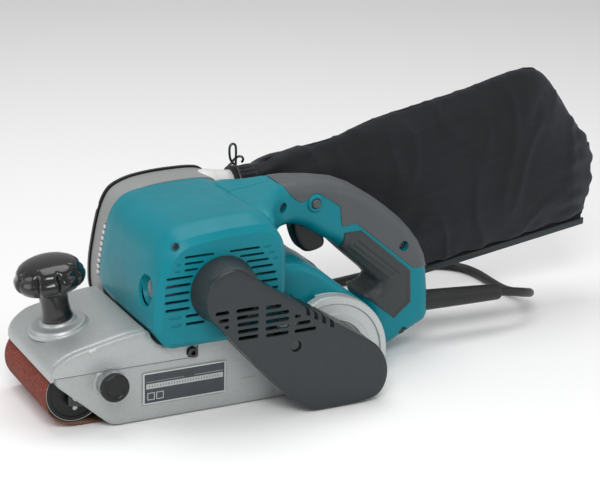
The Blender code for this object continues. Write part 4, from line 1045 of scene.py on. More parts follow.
def make_drive_cover():
    soft = eased(COVER, 2, 5.0)
    vents = [(98, 110, 100.5, 1.6), (101, 110, 94, 1.6), (105.8, 110, 88, 1.6)]
    vents += [(116.0 + 0.5 * k, 136, 100.5 - 6.0 * k, 1.65) for k in range(5)]
    vents += [(142.0 + (0.0 if k < 4 else 0.6), 156 if k == 0 else 163, 99.5 - 6.0 * k, 1.65) for k in range(5)]
    vents += [(168, 173.5, 88.3, 1.6), (168, 182.5, 81.8, 1.6), (168, 188, 75.3, 1.6)]
    holes = rounded_slots(vents) + [ring_of(170, 62, 4.9, 28)]
    top = [(175.5, 96), (204.5, 78), (238.5, 56)]
    notched = []
    cut = []
    for k in range(4):
        x0 = 178.6 + 7.4 * k
        cut.append((x0, x0 + 3.4))
    for p in soft:
        notched.append(p)

    def top_z(x):
        return float(np.interp(x, [175.5, 204.5, 238.5], [96, 78, 56]))
    start = min(range(len(soft)), key=lambda i: abs(soft[i][0] - 176) + abs(soft[i][1] - 95.5))
    ring = soft[start:] + soft[:start]
    upper, rest = [], []
    for i, p in enumerate(ring):
        if len(rest) == 0 and p[0] < 238.5 and p[1] > 50:
            upper.append(p)
        else:
            rest.append(p)
    ux, uz = [p[0] for p in upper], [p[1] for p in upper]
    out = [p for p in upper if p[0] < 177.6]
    for x0, x1 in cut:
        z0, z1 = float(np.interp(x0, ux, uz)), float(np.interp(x1, ux, uz))
        out += [(x0, z0), (x0, z0 - 6.0), (x1, z1 - 5.4), (x1, z1)]
    out += [p for p in upper if p[0] > cut[-1][1] + 1.0] + rest
    outline = out

    def wall_end(x, z):
        pts = np.stack([x, z], 1)
        return np.where(inside(pts, grow(HOUSING, 0.6)), -78.35, -64.45)

    shell = relief("belt_cover", outline, -103.0, -64.4, -1, holes=holes, r=1.9, round_to=soft, spacing=3.2, edge=1.3, hole_edge=0.9,
                   steps=4, back="open", back_of=wall_end, own=0.45,
                   levels=[(grow(soft, -5.2), 0.0, 0.3)])
    shell = thickened(shell, 2.4)
    dress(shell, COVER_MAT, "root", ("drive_belt_cover",), 40.0)

    def ribs(r, h, a):
        return r - 0.32 * (0.5 - 0.5 * math.cos(72 * a)) ** 2
    boss = lathe("belt_cover_boss", [(20.8, 21.9), (23.3, 21.9), (24.2, 21.4), (24.7, 20.0), (25.4, 15), (26.5, 9), (27.6, 3.6), (28.4, 1.0), (28.5, 0.1), (25.5, 0.1), (22.6, 18.8), (20.8, 19.4)],
                 (MOTOR_X, -78.4, 111.0), (0, -1, 0), 288, True, ribs)
    dress(boss, COVER_MAT, "root")
    ridge_pts = grow(soft, -1.2)


make_drive_cover()


# =================================================================== motor housing
VENTS = [(82, 108, 121, 148), (82, 99, 130, 152), (82, 94, 136, 156), (66.5, 90, 140, 160), (65.6, 88, 143, 163),
         (65, 87, 146, 164.5), (65, 86.5, 149, 165), (65.5, 87, 153, 165), (83, 95, 157, 165), (83, 100, 161, 165)]


def housing_shape(v):
    """The casing's top rises behind its shoulder, its front bows, and it draws in towards the seam on the right."""
    x, y, z = v[:, 0].copy(), v[:, 1].copy(), v[:, 2].copy()
    back = np.clip((y + 73.4) / 17.0, 0, 1)
    top = smooth((z - 120.0) / 36.0)
    z = z + top * (-5.0 * (1 - back) + 1.4 * back * smooth((48 - y) / 80.0))
    front = smooth((92.0 - x) / 22.0) * smooth((z - 66) / 18.0)
    bow = np.clip((y + 78.0) / 126.0, 0, 1)
    x = x - front * (1.6 * np.sin(np.pi * bow) * (y > -72.5))
    tuck = smooth((y - 34.0) / 14.0)
    cx, cz = 116.0, 114.0
    x = x + (cx - x) * 0.012 * tuck
    z = z + (cz - z) * 0.016 * tuck
    return np.stack([x, y, z], 1)


SHELL = [(68.5, 64.5), (60.5, 76.5), (57.0, 82), (57.8, 100), (61.2, 122), (65.4, 141), (71.2, 152), (81, 159.8)] + HOUSING[8:]


def make_housing():
    outline = eased(SHELL, 2, 4.0)
    holes = []
    blind = []
    for k, (x0, x1, x2, x3) in enumerate(VENTS):
        z = 146.2 - 6.75 * k
        holes.append(stadium(x0, x1, z, 1.25, 4))
        if x2:
            holes.append(stadium(x2, x3, z, 1.25, 4))
    for x0, x1, k in ((74.5, 79.0, 1), (73.5, 79.0, 2), (68.5, 79.5, 8), (70.5, 80.0, 9), (151.0, 158.0, 0), (155.0, 161.0, 1), (159.0, 164.0, 2)):
        blind.append((stadium(x0, x1, 146.2 - 6.75 * k, 1.25, 4), 0.7, 0.25))

    def chamfer(t):
        return 1.0 - np.clip(t, 0, 1)
    ob = relief("casing_left", outline, -78.0, 48.0, -1, holes=holes, levels=blind, r=5.2, r_depth=4.6, ring_at=(0.35, 2.4, 4.85, 5.2), spacing=3.4, edge=2.0, hole_edge=1.2,
                steps=36, back="open", shape=housing_shape, profile=chamfer)
    ob = thickened(ob, 2.6)
    cup = lathe("cut_cup", [(0, 6), (13.2, 6), (12.9, -0.4), (12.3, -1.4), (11.2, -2.4), (9.6, -2.9), (8.9, -3.1), (8.8, -9), (0, -9)],
                (60.3, -54, MOTOR_Z), (-1, 0, 0), 48)
    shaft = lathe("cut_shaft", [(0, 20), (6.1, 20), (6.1, -12), (0, -12)], (MOTOR_X, -70, MOTOR_Z), (0, -1, 0), 24)
    ob = boolean(ob, [cup, shaft], "DIFFERENCE")
    dress(ob, TEAL, "root", ("motor_housing",), 34.0)
    # the bearing seat and the brush tube inside it
    seat = lathe("bearing_seat", eased_profile([(11.3, -0.2), (15.0, -0.2), (15.0, -8.8), (11.3, -8.8)], 1, 0.5), (MOTOR_X, -66.4, MOTOR_Z), (0, 1, 0), 40, True)
    # painted shade: the seat is coloured with the darker teal copy
    dress(seat, TEAL_PAINTED_SHADE, "root")
    # brush cap: slotted, bright rim
    cap = lathe("brush_cap", [(0, 3.4), (2.0, 3.4), (5.6, 3.4), (6.3, 3.9), (7.3, 3.9), (7.9, 3.3), (8.3, 2.6), (8.3, 0.1), (0, 0.1)], (67.4, -54, MOTOR_Z), (-1, 0, 0), 48)
    slot_cut = rounded_block("cut_slot", (60.0, -54 - 1.0, MOTOR_Z - 5.4), (65.2, -54 + 1.0, MOTOR_Z + 5.4), 0.2, 1)
    cap = boolean(cap, [slot_cut], "DIFFERENCE")
    dress(cap, ALLOY, "root", ("brush_cap_front",), 40.0)
    well = lathe("brush_well", [(12.3, -0.5), (13.9, -0.9), (13.9, -8.6), (8.5, -8.6), (8.5, -7.2), (9.6, -6.9), (10.6, -6.0), (11.7, -3.0)], (60.3, -54, MOTOR_Z), (-1, 0, 0), 64, True)
    dress(well, TEAL, "root")
    # two small case screws in the chamfer's corners
    for k, (x, z, y) in enumerate(((75.5, 151.4, -75.0), (164.6, 146.6, -71.5), (160.9, 143.4, -75.6))):
        hole = lathe("case_screw_well_%d" % k, [(2.9, 0.5), (3.5, 0.3), (3.5, -1.5), (2.2, -1.5), (2.2, -0.8)], (x, y, z), (0, -1, 0.18), 24, True)
        # painted shade: each well is coloured with the darker teal copy
        dress(hole, TEAL_PAINTED_SHADE, "root")
        head = lathe("case_screw_%d" % k, [(0, -0.9), (0.9, -0.9), (1.2, -0.2), (2.1, -0.2), (2.5, -0.5), (2.5, -1.4), (0, -1.4)], (x, y, z), (0, -1, 0.18), 24)
        dress(head, DARK_STEEL, "root")


make_housing()


# =================================================================== fan side
def aligned(loop, by):
    """The grown loop, each point beside the one it came from."""
    big = grow(loop, by)
    if math.dist(big[0], loop[0]) > 3 * abs(by) + 0.5:
        big = big[::-1]
    k = min(range(len(big)), key=lambda i: math.dist(big[i], loop[0]))
    return big[k:] + big[:k]


def make_fan_side():
    outline = eased(FAN_CASE, 2, 5.0)
    # grey casing between the teal shell and the outer cover: open towards the cover
    ring_outer = outline

    def flare(v):
        x, y, z = v[:, 0].copy(), v[:, 1].copy(), v[:, 2].copy()
        t = smooth((y - 48.0) / 12.0)
        cx, cz = 120.0, 100.0
        k = 0.988 + 0.012 * t
        near = (x < 178) & (z > 60)
        x = np.where(near, cx + (x - cx) * k, x)
        z = np.where(near, cz + (z - cz) * k, z)
        return np.stack([x, y, z], 1)
    case = relief("fan_casing", outline, 76.0, 48.3, 1, holes=[grow(outline, -3.0)], r=0, own=0.5, spacing=3.0, edge=1.8, hole_edge=1.8, steps=10, shape=flare)
    port = lathe("cut_port", [(0, 30), (13.2, 30), (13.2, -20), (0, -20)], (168, BAG_Y, SPIGOT_Z), (1, 0, 0), 40)
    case = boolean(case, [port], "DIFFERENCE")
    dress(case, GREY, "root", ("fan_housing",))
    inner = relief("fan_casing_wall", grow(outline, -2.6), 48.4, 51.0, -1, holes=[ring_of(MOTOR_X, MOTOR_Z, 11.3, 40)], own=0.3, spacing=6.0, edge=3.0)
    dress(inner, GREY, "root")
    # outer cover: thin black plate with concentric slots
    slots = []
    for k, rad in enumerate((16.0, 22.0, 28.0, 34.0)):
        for q in range(4):
            a0, a1 = 90 * q + 12 + 2 * k, 90 * q + 78 - 2 * k
            path_out = arc(MOTOR_X, MOTOR_Z, rad + 1.5, a0, a1, 14)
            path_in = arc(MOTOR_X, MOTOR_Z, rad - 1.5, a1, a0, 14)
            slots.append(path_out + path_in)
    screws = [(74, 70), (72, 138), (104, 156), (158, 156), (196, 92), (250, 74)]
    dips = [(ring_of(x, z, 4.6, 20), 1.2, 0.4) for x, z in screws]
    rib_lines = []
    for k in range(5):
        rib_lines.append((stadium(170 + 11 * k, 176 + 11 * k, 80 + 0 * k, 1.3, 4), 0.8, 0.3) if False else (ring_of(MOTOR_X, MOTOR_Z, 45.0 + 0.0 * k, 60), -0.8, 0.6))
        break
    plate = relief("fan_cover_plate", eased([q if p[0] < 166 else (p[0] - 0.5, p[1] - 0.6) for p, q in zip(FAN_CASE, aligned(FAN_CASE, 1.5))], 2, 5.0), 80.8, 76.3, 1, holes=slots + [ring_of(x, z, 2.0, 14) for x, z in screws], r=1.6, spacing=3.2, edge=1.6, hole_edge=1.3,
                   levels=dips + rib_lines, steps=2)
    dress(plate, BLACK, "root", ("fan_cover",), 36.0)
    for k, (x, z) in enumerate(screws):
        head = lathe("fan_cover_screw_%d" % k, [(0, 0.2), (1.1, 0.2), (1.3, 1.0), (2.4, 0.9), (3.0, 0.4), (3.1, -0.2), (1.9, -0.3), (1.9, -2.0), (0, -2.0)], (x, 79.4, z), (0, 1, 0), 28)
        dress(head, STEEL, "root")
    # seam strip down the casing's front: a dark gasket with a row of pale teeth
    lo, hi = 86.0, 131.0
    rows = 30
    verts, faces = [], []
    for i in range(rows + 1):
        z = lo + (hi - lo) * i / rows
        x = float(np.interp(z, [76, 95, 120, 137], [60.2, 60.7, 65.2, 69.2]))
        for y, dx in ((48.6, 1.6), (48.6, -0.7), (57.2, -0.7), (57.2, 1.6)):
            verts.append((x + dx, y, z))
    for i in range(rows):
        for j in range(4):
            k = (j + 1) % 4
            faces.append((i * 4 + j, i * 4 + k, (i + 1) * 4 + k, (i + 1) * 4 + j))
    faces.append((0, 1, 2, 3))
    faces.append(tuple(rows * 4 + j for j in (3, 2, 1, 0)))
    gasket = cleaned(mesh_object("seam_gasket", verts, faces), 0)
    dress(gasket, BLACK, "root")
    for k in range(9):
        z0 = lo + 1.6 + 4.9 * k
        x0 = float(np.interp(z0 + 1.5, [76, 95, 120, 137], [60.2, 60.7, 65.2, 69.2]))
        tooth = rounded_block("comb_tooth_%d" % k, (x0 - 1.8, 52.4, z0), (x0 + 1.2, 57.4, z0 + 3.1), 0.5, 2)
        dress(tooth, PALE, "root")


make_fan_side()

nozzle = lathe("dust_spigot", [(10.8, 38.0), (12.2, 38.0), (12.8, 37.5), (13.0, 36.6), (13.0, 32.0), (12.7, 31.4), (12.7, 30.4), (13.0, 29.8), (13.0, 12), (14.6, 9.0), (15.8, 4), (15.9, 0.0), (10.8, 0.0)],
               (161, BAG_Y, SPIGOT_Z), (1, 0, 0), 64, True)
dress(nozzle, PALE, "root", ("dust_nozzle",))


def make_duct():
    """The pale swelling where the spigot grows out of the casing's top."""
    ob = lathe("dust_duct", [(0, 30.0), (13.9, 30.0), (14.1, 28.0), (14.5, 24.0), (15.4, 18.0), (16.4, 12.5), (16.6, 9.5), (15.4, 6.0), (12.5, 0.0), (0, 0.0)],
               (149.5, BAG_Y, SPIGOT_Z - 0.4), (1, 0, 0), 96)
    dress(ob, PALE, "root")


make_duct()


# =================================================================== cast front cover and knob pedestal
HUMP_TOP = [(99.4, 63.3), (80, 63.6), (68, 66.0), (60.5, 72.5), (56.8, 76.6), (46, 76.3), (35, 74.8), (18, 71.4), (0, 67.6), (-9, 65), (-16, 61.6), (-21.5, 57.2), (-24.6, 51.5), (-25.2, 46)]


def make_front_cover():
    crest = smooth_route([(56.8, 77.0), (46, 76.3), (35, 74.8), (18, 71.4), (0, 67.6), (-9, 65), (-16, 61.6), (-21.5, 57.2), (-24.6, 51.5), (-25.2, 46)], 2.2)
    under = smooth_route([(-22.9, 46.5), (-21.8, 50.5), (-18.2, 55), (-12.5, 59.3), (0.6, 63.8), (18.6, 67.6), (35.5, 71), (46.3, 72.6), (56.8, 73.3)], 3.0)
    loop = crest + under
    ys = [-61.2, -59.6, -57.4, -56.6, -55.4, -54.2, -53.4] + [-52 + 4.0 * k for k in range(23)] + [39, 42, 45, 48, 50.5, 53, 55, 57, 58.4, 59.4, 60.0]
    verts, faces = [], []
    for y in ys:
        # a groove runs just inside the raised left edge, and the right edge is rounded over
        groove = 1.5 * math.exp(-((y + 55.6) / 0.75) ** 2)
        swell = 0.9 * math.exp(-((y + 50.5) / 3.2) ** 2)
        over = max(0.0, (y - 52.0) / 8.0)
        drop = 4.2 * (1 - math.sqrt(max(0.0, 1 - over * over)))
        plan_in = max(0.0, (y - 34.0) / 26.0)
        tuck = 8.5 * (1 - math.sqrt(max(0.0, 1 - plan_in * plan_in)))
        for i, (x, z) in enumerate(loop):
            top = i < len(crest)
            front = max(0.0, min(1.0, (-2.0 - x) / 18.0))
            k = 1.0 if top else 0.35
            fade = 1.0 if x > -18 else max(0.0, (x + 25) / 7.0)
            verts.append((x + tuck * front + (drop * 0.6 * front if top else 0), y, z - (groove * fade if top else 0.0) + (swell * fade * 0.6 if top else 0) - drop * k))
    n = len(loop)
    for r in range(len(ys) - 1):
        for i in range(n):
            j = (i + 1) % n
            faces.append((r * n + i, r * n + j, (r + 1) * n + j, (r + 1) * n + i))
    faces.append(tuple(reversed(range(n))))
    faces.append(tuple(range((len(ys) - 1) * n, len(ys) * n)))
    hump = cleaned(mesh_object("cover_front", verts, faces), 0)
    side = [(-24.4, 50.0), (99.6, 50.0), (99.6, 63.4)] + smooth_route([(74, 63.4), (66, 65.6), (60.2, 71.4), (56.9, 77.6), (46, 76.9), (35, 75.4), (18, 72.0), (0, 68.2), (-9, 65.5),
            (-16, 62.1), (-21.5, 57.6), (-24.5, 52)], 2.0)[1:]
    plate = relief("cover_front_side", side, -64.0, -57.2, -1, holes=[ring_of(94.5, 55.2, 2.7, 20)], r=2.4, round_to=[(-24.4, 20), (130, 20), (130, 63.4)] + side[2:], own=0.35, spacing=3.4, edge=1.4,
                   levels=[(ring_of(94.5, 55.2, 5.8, 28), 0.8, 0.4)])
    profile = eased_profile([(0, 5.4), (12.8, 5.4), (14.4, 4.6), (15.2, 2.9), (16.6, 2.4), (21.4, 2.2), (22.9, 1.5), (23.8, -0.3), (25.4, -1.2), (25.8, -4.7), (0, -4.7)], 2, 0.9)
    pedestal = lathe("cover_pedestal", profile, on_knob(0), LEAN, 96)
    cover = boolean(hump, [plate, pedestal], "UNION")
    bore = lathe("cut_bore", [(0, 12), (4.4, 12), (4.4, -12), (0, -12)], on_knob(0), LEAN, 24)
    cover = boolean(cover, [bore], "DIFFERENCE")
    cover.name = "cover_front"
    dress(cover, CAST_LIGHT, "root", ("front_cover",), 40.0)
    return cover


make_front_cover()


# =================================================================== cast frame
def make_frame():
    wall = [(-21.2, 49.7), (-21.2, 43.0), (25.5, 1.0), (268.5, 1.0)] + arc(SPACING, ROLL_Z, 55.0, -27, 115, 46) + [(190, 63.8), (100.2, 63.8), (100.2, 49.7)]
    wall = [(-21.2, 49.7), (-21.2, 46.5), (-20.4, 42.2), (-18.5, 40.2), (20.0, 5.6), (24.0, 2.6), (29.0, 1.2), (34.0, 1.0), (268.5, 1.0)] + arc(SPACING, ROLL_Z, 55.0, -27, 100, 40) \
        + [(200, 76), (190, 63.8), (100.2, 63.8), (100.2, 49.7)]
    over = [(-60, 80)] + [(-60, 43.0)] + [(-21.2, 43.0)] + wall[2:-3] + [(180, 74), (150, 110), (100.2, 110), (-60, 110)]
    # raised round boss over the rear roller with arc ribs, a flat pad for the plate, a ring for the tracking knob
    arcs = []
    for r0, r1, a0, a1, deep in ((39.0, 49.0, -8, 104, 1.5), (24.0, 34.5, 0, 100, 1.5)):
        mid, half = (r0 + r1) / 2, (r1 - r0) / 2
        ends = [(arc(SPACING + mid * math.cos(math.radians(t)), ROLL_Z + mid * math.sin(math.radians(t)), half, t + d, t + d + 180, 10)) for t, d in ((a1, 0), (a0, 180))]
        arcs.append((arc(SPACING, ROLL_Z, r1, a0, a1, 36)[1:-1] + ends[0] + arc(SPACING, ROLL_Z, r0, a1, a0, 30)[1:-1] + ends[1], deep, 1.1))
    levels = arcs + [
        (round_box(50.3, 13.6, 126.2, 44.0, 1.6, 5), 0.35, 0.4),
        (ring_of(23, 40, 13.4, 40), -0.7, 0.9),
        (round_box(138.5, 22.0, 152.0, 24.2, 0.8, 4), -0.25, 0.25),
    ]
    holes = [ring_of(SPACING, ROLL_Z, 13.3, 40), ring_of(23, 40, 3.4, 24), ring_of(170, 62, 3.3, 20)]
    side = relief("frame_side", wall, -64.0, -54.2, -1, holes=holes, levels=levels, r=2.6, round_to=over, own=0.5, spacing=3.6, edge=1.8, hole_edge=1.4, steps=2)
    dress(side, CAST, "root", ("base_frame",), 36.0)
    parts = []
    parts.append(rounded_block("frame_deck", (62, -56.5, 58), (192, 47.8, 63.8), 0.8, 2))
    parts.append(relief("frame_beam", [(52, 5.8), (188, 5.8), (188, 49), (52, 49)], -54.6, 50.4, -1, holes=[round_box(60, 12, 180, 43, 4, 6)], own=0.5, spacing=8.0, edge=4.0, hole_edge=2.0))
    parts.append(relief("frame_arm", [(150, 9), (182, 7)] + arc(SPACING, ROLL_Z, 15.0, -90, 90, 24) + [(182, 47), (150, 47)], 57.2, 50.0, 1,
                        holes=[ring_of(SPACING, ROLL_Z, 11.3, 36)], r=1.6, spacing=4.0, edge=2.0, hole_edge=1.6,
                        levels=[(round_box(158, 15, 196, 40, 4, 6), 1.6, 1.2)]))
    for z0, z1, key in ((6.4, 11.6, "low"), (43.4, 48.6, "high")):
        lug = rounded_block("frame_lug_" + key, (69, 44, z0), (79, 62, z1), 0.9, 3)
        parts.append(lug)
    parts.append(rounded_block("frame_rib", (100.2, -58, 45), (186, -50, 62), 0.8, 2))
    for k in range(6):
        x = 66 + 21.0 * k
        parts.append(rounded_block("frame_web_%d" % k, (x - 1.4, 20.0, 12.2), (x + 1.4, 50.0, 42.8), 0.6, 2))
    for ob in parts:
        dress(ob, CAST, "root")
    # rating plate
    plate = relief("rating_label", round_box(51.8, 15.1, 124.7, 42.5, 1.6, 6), -64.85, -64.3, -1, r=0.25, spacing=6.0, edge=1.5)
    dress(plate, PLATE_MAT, "root", ("rating_plate",))
    # socket-head screw in its counterbore
    cup = lathe("frame_screw_cup", [(5.2, 0.6), (5.9, 0.3), (6.1, -0.6), (4.9, -0.6), (4.9, -0.1)], (94.5, -64.0, 55.2), (0, -1, 0), 48, True)
    dress(cup, CAST_LIGHT, "root")
    hexa = [(1.9 * math.cos(math.pi / 3 * k), 1.9 * math.sin(math.pi / 3 * k)) for k in range(6)]
    head = lathe("frame_screw_head", [(0, 0.2), (1.6, 0.2), (2.1, 3.6), (3.6, 3.6), (4.2, 3.2), (4.4, 2.6), (4.4, -0.4), (2.3, -0.5), (2.3, -8), (0, -8)], (94.5, -64.3, 55.2), (0, -1, 0), 48)
    dress(head, DARK_STEEL, "root", ("frame_screw",))


make_frame()


# =================================================================== tracking knob
def make_tracking():
    def knurl(r, h, a):
        if r > 10.5 and 8.8 < h < 14.4:
            return r - 0.4 * (0.5 - 0.5 * math.cos(40 * a)) ** 0.7
        return r
    cap = lathe("tracking_cap", [(0, 14.0), (6.6, 14.0), (7.4, 14.2), (8.2, 15.0), (9.0, 15.5), (10.2, 15.5), (11.2, 14.9), (11.8, 14.0), (12.0, 13.2), (12.0, 9.4), (11.5, 8.7), (10.4, 8.5), (0, 8.5)],
                (23, -64.4, 40), (0, -1, 0), 240, False, knurl)
    dress(cap, BLACK, "tracking_knob", ("tracking_knob",), 40.0)

    def fine(r, h, a):
        return r - (0.85 * (0.5 - 0.5 * math.cos(34 * a)) if r > 9.0 and 0.9 < h < 8.2 else 0.0)
    ring = lathe("tracking_ring", [(0, 9.0), (9.2, 9.0), (10.9, 8.6), (11.5, 8.0), (11.6, 7.4), (11.6, 1.8), (11.4, 1.1), (10.8, 0.6), (3.0, 0.5), (3.0, -10.4), (0, -10.4)], (23, -64.4, 40), (0, -1, 0), 238, False, fine)
    dress(ring, STEEL, "tracking_knob", (), 30.0)


make_tracking()


# =================================================================== sanding belt
def make_belt():
    def track(extra):
        return hull([(0, ROLL_Z, BELT_R + extra), (SPACING, ROLL_Z, BELT_R + extra), (44, 4, 4 + extra), (178, 4, 4 + extra)], 144)

    def ribbon(name, out, inn, y0, y1, bulge):
        a, b = resampled(track(out), 3.0), None
        cx = np.array(a)
        verts, faces = [], []
        normals = []
        for i in range(len(a)):
            p, q = Vector(a[i - 1]), Vector(a[(i + 1) % len(a)])
            n = Vector((q.y - p.y, p.x - q.x)).normalized()
            normals.append(n)
        thick = out - inn
        ys = [y0, y0 + 0.25] + [y0 + (y1 - y0) * k / 14.0 for k in range(1, 14)] + [y1 - 0.25, y1]
        rows = []
        for side in (0, 1):
            for y in (ys if side == 0 else ys[::-1]):
                row = []
                near = min(y - y0, y1 - y)
                lip = 0.12 if near < 0.1 else 0.0
                for p, n in zip(a, normals):
                    d = 0.0 if side == 0 else -thick
                    d -= lip if side == 0 else -lip
                    row.append(len(verts))
                    verts.append((p[0] + n.x * d, y, p[1] + n.y * d))
                rows.append(row)
        count = len(a)
        for r0, r1 in zip(rows, rows[1:] + rows[:1]):
            for i in range(count):
                j = (i + 1) % count
                faces.append((r0[i], r0[j], r1[j], r1[i]))
        return cleaned(mesh_object(name, verts, faces), 0)
    grit = ribbon("abrasive_belt", 0.0, -0.75, -50.0, 50.0, 0)
    dress(grit, GRIT, "root", ("sanding_belt",), 60.0)
    backing = ribbon("abrasive_belt_backing", -0.72, -1.2, -49.95, 49.95, 0)
    dress(backing, BACKING, "root", (), 60.0)


make_belt()


# =================================================================== rear cover
def make_rear_cover():
    deck = REAR_DECK + [(270.5, 2.0)] + arc(SPACING, ROLL_Z, 30.0, -18, 90, 16) + [(192.4, 58), (192.4, 64.4), (173.5, 64.4)]
    top = eased(REAR_DECK + [(270.5, 2.0)] + arc(SPACING, ROLL_Z, 30.0, -18, 90, 16) + [(192.4, 58), (192.4, 64.4), (173.5, 64.4)], 1, 3.0)
    crest = smooth_route(REAR_DECK, 3.0)
    outline = crest + [(270.5, 2.0)] + arc(SPACING, ROLL_Z, 30.0, -18, 90, 16) + [(192.4, 58), (192.4, 64.4), (173.5, 64.4)]
    over = [(120, 111), (173.5, 111)] + crest[1:] + [(277.5, -60), (120, -60)]

    def crown(v):
        x, y, z = v[:, 0].copy(), v[:, 1].copy(), v[:, 2].copy()
        up = smooth((z - 60.0) / 40.0)
        step = 0.9 * smooth((y + 30.0) / 3.0) * up
        return np.stack([x, y, z - 0.9 * up + step], 1)
    ob = relief("deck_rear", outline, -49.6, 47.9, -1, r=7.0, round_to=over, own=0.3, spacing=3.4, edge=2.2, steps=26, shape=crown)
    dress(ob, TEAL, "root", ("rear_cover",), 40.0)
    # cast ring that closes the rear roller's round end beside the deck
    band = relief("rear_ring", arc(SPACING, ROLL_Z, 54.4, -20, 100, 44) + arc(SPACING, ROLL_Z, 31.0, 100, -20, 30), -54.6, -50.2, -1, own=0.4, spacing=4.0, edge=2.0)
    # painted highlight: the ring is coloured with the brighter copy of the cast alloy
    dress(band, CAST_PAINTED_HIGHLIGHT, "root")
    return ob


make_rear_cover()


# =================================================================== handle
def mirrored(ob, y=0.0):
    """The open half and its mirror image across the plane y (mm), welded into one body."""
    bm = bmesh.new()
    bm.from_mesh(ob.data)
    n = len(bm.verts)
    copies = bmesh.ops.duplicate(bm, geom=list(bm.verts) + list(bm.edges) + list(bm.faces))
    for g in copies["geom"]:
        if isinstance(g, bmesh.types.BMVert):
            g.co.y = 2 * y * MM - g.co.y
    bmesh.ops.remove_doubles(bm, verts=bm.verts, dist=1e-5)
    bmesh.ops.recalc_face_normals(bm, faces=bm.faces)
    bm.to_mesh(ob.data)
    bm.free()
    return ob


HANDLE_UP = [(173.4, 167.6), (192, 170.6), (210, 170.6)] + HANDLE_TOP[3:]
HANDLE_OUT = [(152, 165.4)] + HANDLE_UP + HANDLE_REAR + HANDLE_IN + [(156, 118.5)]
HANDLE_OVER = [(60, 163.5)] + HANDLE_OUT + [(60, 118.5)]
GROWN = grow(HANDLE_OVER, 0.7)[::-1]   # same order as HANDLE_OVER


def neck(side):
    far = 43.0 if side < 0 else 23.5

    def shape(v):
        x, y, z = v[:, 0].copy(), v[:, 1].copy(), v[:, 2].copy()
        g = np.clip((203.0 - x) / 36.0, 0, 1) ** 1.9
        g = g * (0.30 + 0.70 * smooth((z - 116.0) / 26.0))
        y = y * (1.0 + g * far / 22.0)
        return np.stack([x, y, z], 1)
    return shape


def grown_points(first, last):
    """Part of the handle's grown outline between two of its own points."""
    return GROWN[1 + 1 + first:1 + 1 + last + 1]


